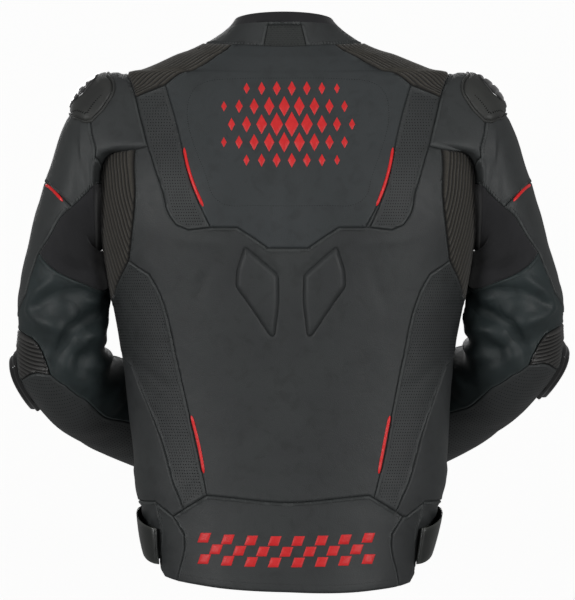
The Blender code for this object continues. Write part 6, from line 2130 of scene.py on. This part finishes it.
# Red leather shapes sewn flat on the back: a field of lozenges above, a band of leaning blocks on the hem
lozenges = {
    "rows": 5, "columns": 9, "across": 17.5, "down": 21.0, "middleZ": -92.0, "high": 0.55, "small": 0.34,
    "large": 0.94, "tall": 1.55, "fieldHalfWide": 84.0, "fieldHalfHigh": 62.0,
}
blocks = {
    "rows": 3, "columns": 15, "across": 13.6, "down": 12.4, "topZ": -566.0, "lean": 0.35, "fill": 0.9,
    "high": 0.55, "bow": 4.0, "bowHalf": 102.0,
}


def tile(corners, high):
    polygon = [bodyPlace("back", x, z) for x, z in corners]
    return patch(body, polygon, lambda far, flat, base: high * steps((far + 0.25) / 0.7), -0.3, (0.5,), 4.0,
                 3.0)


def lozengeField():
    parts = []
    for row in range(lozenges["rows"]):
        for column in range(lozenges["columns"]):
            x = (column - (lozenges["columns"] - 1)
                 / 2) * lozenges["across"] + (row % 2 - 0.5) * lozenges["across"] / 2
            z = lozenges["middleZ"] + ((lozenges["rows"] - 1) / 2 - row) * lozenges["down"]
            away = math.hypot(x / lozenges["fieldHalfWide"],
                              (z - lozenges["middleZ"]) / lozenges["fieldHalfHigh"])
            if away > 1:
                continue
            size = lozenges["large"] + (lozenges["small"] - lozenges["large"]) * away
            wide, tall = lozenges["across"] / 2 * size, lozenges["down"] / 2 * size * lozenges["tall"]
            parts.append(tile([(x + wide, z), (x, z + tall), (x - wide, z), (x, z - tall)], lozenges["high"]))
    return joined(parts)


def blockBand():
    parts = []
    for row in range(blocks["rows"]):
        for column in range(blocks["columns"]):
            if (row + column) % 2:
                continue
            middle = (column - (blocks["columns"] - 1) / 2) * blocks["across"]
            bow = blocks["bow"] * (1 - (middle / blocks["bowHalf"]) ** 2)
            top = blocks["topZ"] - row * blocks["down"] - bow
            wide, tall = blocks["across"] / 2 * blocks["fill"], blocks["down"] * blocks["fill"]
            lean = blocks["lean"]
            corners = [(middle + side * wide - lean * (z - top), z)
                       for side, z in ((1, top), (1, top - tall), (-1, top - tall), (-1, top))]
            parts.append(tile(corners, blocks["high"]))
    return joined(parts)


for name, build in (("back_lozenges", lozengeField), ("hem_blocks", blockBand)):
    verts, tris, _ = build()
    place(makeObject(name, verts, tris, "redPanelLeather", 40), slot="piping")
print("piping and red shapes made")

# Waist straps: a leather loop folded back on itself. Degrees round, distance out, top, height.
strapForm = {"thick": 2.2, "high": 42, "around": 78, "across": 13, "bulge": 0.8, "ripple": 0.5, "ripples": 19}
strapTable = np.array([
    (117, 1.45, -533, 40), (111, 2.3, -535, 41), (102, 3.6, -538, 41), (93, 5.0, -542, 42),
    (85, 7.6, -547, 42),
    (78, 10.4, -553, 42), (73, 11.4, -558, 42), (69.6, 10.0, -561, 42), (68.2, 7.0, -562, 42),
    (69.0, 4.2, -562, 42),
    (71.6, 2.2, -561, 42), (75, 1.45, -559, 42),
], float)


def gridWall(outer, inner):
    # closed wall between two grids of points
    rows, columns = outer.shape[:2]
    index = np.arange(rows * columns).reshape(rows, columns)
    size = rows * columns
    a, b, c, d = index[:-1, :-1], index[:-1, 1:], index[1:, 1:], index[1:, :-1]
    top = np.concatenate([np.stack([a, b, c], -1).reshape(-1, 3), np.stack([a, c, d], -1).reshape(-1, 3)])
    rim = list(index[0, :]) + list(index[1:, -1]) + list(index[-1, -2::-1]) + list(index[-2:0:-1, 0])
    sides = []
    for i, j in zip(rim, rim[1:] + rim[:1]):
        sides += [(j, i, i + size), (j, i + size, j + size)]
    tris = np.concatenate([top, top[:, ::-1] + size, np.array(sides)])
    verts = np.concatenate([outer.reshape(-1, 3), inner.reshape(-1, 3)])
    a, b, c = (verts[tris[:, k]] for k in range(3))
    if np.sum(np.cross(a, b) * c) < 0:
        tris = tris[:, ::-1]
    return verts, tris


def strapGrid(mirror):
    fine = hermite(np.column_stack([np.arange(len(strapTable)), strapTable]),
                   np.linspace(0, len(strapTable) - 1, strapForm["around"]))
    middle = []
    levels = np.linspace(0, 1, strapForm["across"])
    for level in levels:
        rows = fine[:, 2] - fine[:, 3] * level
        u = np.radians(fine[:, 0]) * torsoTurn * mirror
        p = body(u, rows)
        side = body(u + 1, rows) - body(u - 1, rows)
        flat = np.stack([side[:, 1], -side[:, 0], np.zeros(len(u))], axis=1)
        flat = flat / np.linalg.norm(flat, axis=1)[:, None]
        flat = flat * np.sign(np.sum(flat * p, axis=1))[:, None]
        middleness = math.sin(math.pi * level)
        ripple = strapForm["ripple"] * np.sin(np.linspace(0, strapForm["ripples"], len(u))) * (fine[:, 1] > 3)
        q = p + flat * (fine[:, 1] + (strapForm["bulge"] + ripple) * middleness)[:, None]
        q[:, 2] = rows
        middle.append(q)
    middle = np.array(middle)
    along = np.gradient(middle, axis=1)
    flat = np.stack([along[..., 1], -along[..., 0], np.zeros(along.shape[:2])], axis=2)
    flat = flat / np.linalg.norm(flat, axis=2)[..., None]
    edge = np.minimum(levels, 1 - levels) * strapForm["high"]
    thick = strapForm["thick"] / 2 * (0.55 + 0.45
                                      * np.sqrt(np.clip(edge / 1.2, 0, 1))) - 0.25 * bump(edge, 4.0, 1.0)
    return middle, flat, thick[:, None, None]


for side, mirror in (("left", 1), ("right", -1)):
    middle, flat, thick = strapGrid(mirror)
    verts, tris = gridWall(middle + flat * thick, middle - flat * thick)
    strap = place(makeObject("waist_strap_leather_" + side, verts, tris, "strapLeather", 50),
                  "waist_strap_" + side, "leather")
    levels = np.linspace(-1, 1, strapForm["across"])
    # the strap's two long edges are painted lighter: partly rub wear, partly a painted highlight
    rub = 0.6 * (bump(levels, 1, 0.14) + bump(levels, -1, 0.14))
    paintAttribute(strap, "seamWear", np.tile(np.repeat(rub, strapForm["around"]), 2))
print("straps made")

# Collar tab and its snap
tab = {"turns": (167.0, 197.0), "rows": (0.26 * collarHigh, 0.60 * collarHigh), "out": 0.5, "thick": 1.8}
snap = {"turn": 190.5, "foot": 2.65}
snapProfile = ((0.0, 4.9), (0.25, 5.3), (0.6, 5.5), (0.95, 5.3), (1.1, 4.7), (1.0, 4.3), (1.25, 3.9),
               (1.6, 3.0), (1.8, 1.6),
               (1.85, 0.5))


def tabOutline():
    low, high = tab["rows"]
    middle, half = (low + high) / 2, (high - low) / 2
    one, two = (math.radians(t) * torsoTurn for t in tab["turns"])
    round_ = [(two - 17 + 17 * math.sin(a), middle + half * math.cos(a)) for a in np.linspace(0, math.pi, 12)]
    return [(one, high)] + round_ + [(one, low)]


def turnedMesh(middle, axis, profile, sides):
    one = np.cross(axis, [0.0, 0.0, 1.0])
    one = one / np.linalg.norm(one)
    two = np.cross(axis, one)
    verts, tris = [middle + axis * profile[0][0]], []
    for high, radius in profile:
        for k in range(sides):
            a = 2 * math.pi * k / sides
            verts.append(middle + axis * high + radius * (math.cos(a) * one + math.sin(a) * two))
    verts.append(middle + axis * profile[-1][0])
    for k in range(sides):
        m = (k + 1) % sides
        tris.append((0, 1 + m, 1 + k))
        for r in range(len(profile) - 1):
            a, b = 1 + r * sides, 1 + (r + 1) * sides
            tris += [(a + k, a + m, b + m), (a + k, b + m, b + k)]
        last = 1 + (len(profile) - 1) * sides
        tris.append((last + k, last + m, len(verts) - 1))
    return verts, tris


def tabHeight(far, flat, base):
    return tab["out"] + tab["thick"] * profiled(far, (0, 0.62), (0.5, 0.9), (1.1, 1.0), (2.2, 1.0),
                                                (3.0, 0.86), (3.8, 1.0))


verts, tris, places = patch(collar, tabOutline(), tabHeight, tab["out"] - 0.2, (0.5, 1.1, 2.2, 3.0, 3.8), 3.0,
                            onLeather=False)
tabPiece = place(makeObject("collar_tab_leather", verts, tris, "pigmentedCowhide", 50), "collar_tab",
                 "leather")
at = np.array([[math.radians(snap["turn"]) * torsoTurn, sum(tab["rows"]) / 2]])
axis = outward(collar, *at.T)[0]
verts, tris = turnedMesh(collar(*at.T)[0], axis, [(h + snap["foot"], r) for h, r in snapProfile], 36)
place(makeObject("collar_snap_cap", verts, tris, "gunMetal", 30), "collar_snap", "metal")

# Zip: coil teeth up the front, and the slider and pull with rounded edges
zipTeeth = {"pitch": 2.6, "long": 3.4, "thick": 1.35, "high": 1.5, "apart": 1.1}


def zipRows():
    spots, outs, ways = [], [], []
    for surface, low, high in ((body, -568.0, neckRow - 1), (collar, 1.0, bandStart - 2)):
        for sign in (1, -1):
            run = [(halfTurn, v) for v in np.linspace(low, high, 60)]
            at, way = alongRun(surface, run, zipTeeth["pitch"])
            for i, (p, w) in enumerate(zip(at, way)):
                shift = zipTeeth["pitch"] / 2 * (sign > 0)
                q = surface(p[:1], p[1:] + shift)[0]
                n = outward(surface, p[:1], p[1:] + shift)[0]
                up = surface(p[:1], p[1:] + shift + 1)[0] - q
                across = np.cross(n, up) * sign
                across = across / np.linalg.norm(across)
                spots.append(q + across * zipTeeth["apart"] + n * 1.0)
                outs.append(n)
                ways.append(across)
    return spots, outs, ways


spots, outs, ways = zipRows()
toothSize = (zipTeeth["long"], zipTeeth["thick"], zipTeeth["high"])
place(scatter("zip_teeth", toothTree, spots, outs, ways, toothSize, "gunMetal", smooth=False), slot="metal")


def rounded(node, name, material, bodyName, width):
    # the CAD piece's own shape, merged and with soft edges
    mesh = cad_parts[node].data.copy()
    mesh.name = name
    work = bmesh.new()
    work.from_mesh(mesh)
    bmesh.ops.remove_doubles(work, verts=work.verts, dist=1e-5)
    bmesh.ops.dissolve_limit(work, angle_limit=0.02, verts=work.verts, edges=work.edges)
    edges = [e for e in work.edges if e.is_manifold and e.calc_face_angle() > 0.5]
    bmesh.ops.bevel(work, geom=edges, offset=width * mm, segments=3, profile=0.5, affect="EDGES",
                    clamp_overlap=True)
    bmesh.ops.triangulate(work, faces=work.faces)
    bmesh.ops.recalc_face_normals(work, faces=work.faces)
    work.to_mesh(mesh)
    work.free()
    mesh.materials.clear()
    mesh.materials.append(finish[material])
    mesh.shade_smooth()
    mesh.set_sharp_from_angle(angle=math.radians(50))
    made = bpy.data.objects.new(name, mesh)
    bpy.context.scene.collection.objects.link(made)
    return place(made, node, "metal", bodyName)


rounded("zip_slider", "zip_slider_cast", "gunMetal", "jacket", 0.5)
rounded("zip_pull", "zip_pull_cast", "gunMetal", "zip_pull", 0.45)
print("zip made")

# Every panel rides and stands for its node
for name, (piece, area, (wide, long), slot) in panelObjects.items():
    place(piece, name, slot)
for piece in (sewingPiece, framePiece, holePiece):
    place(piece, slot="leather")
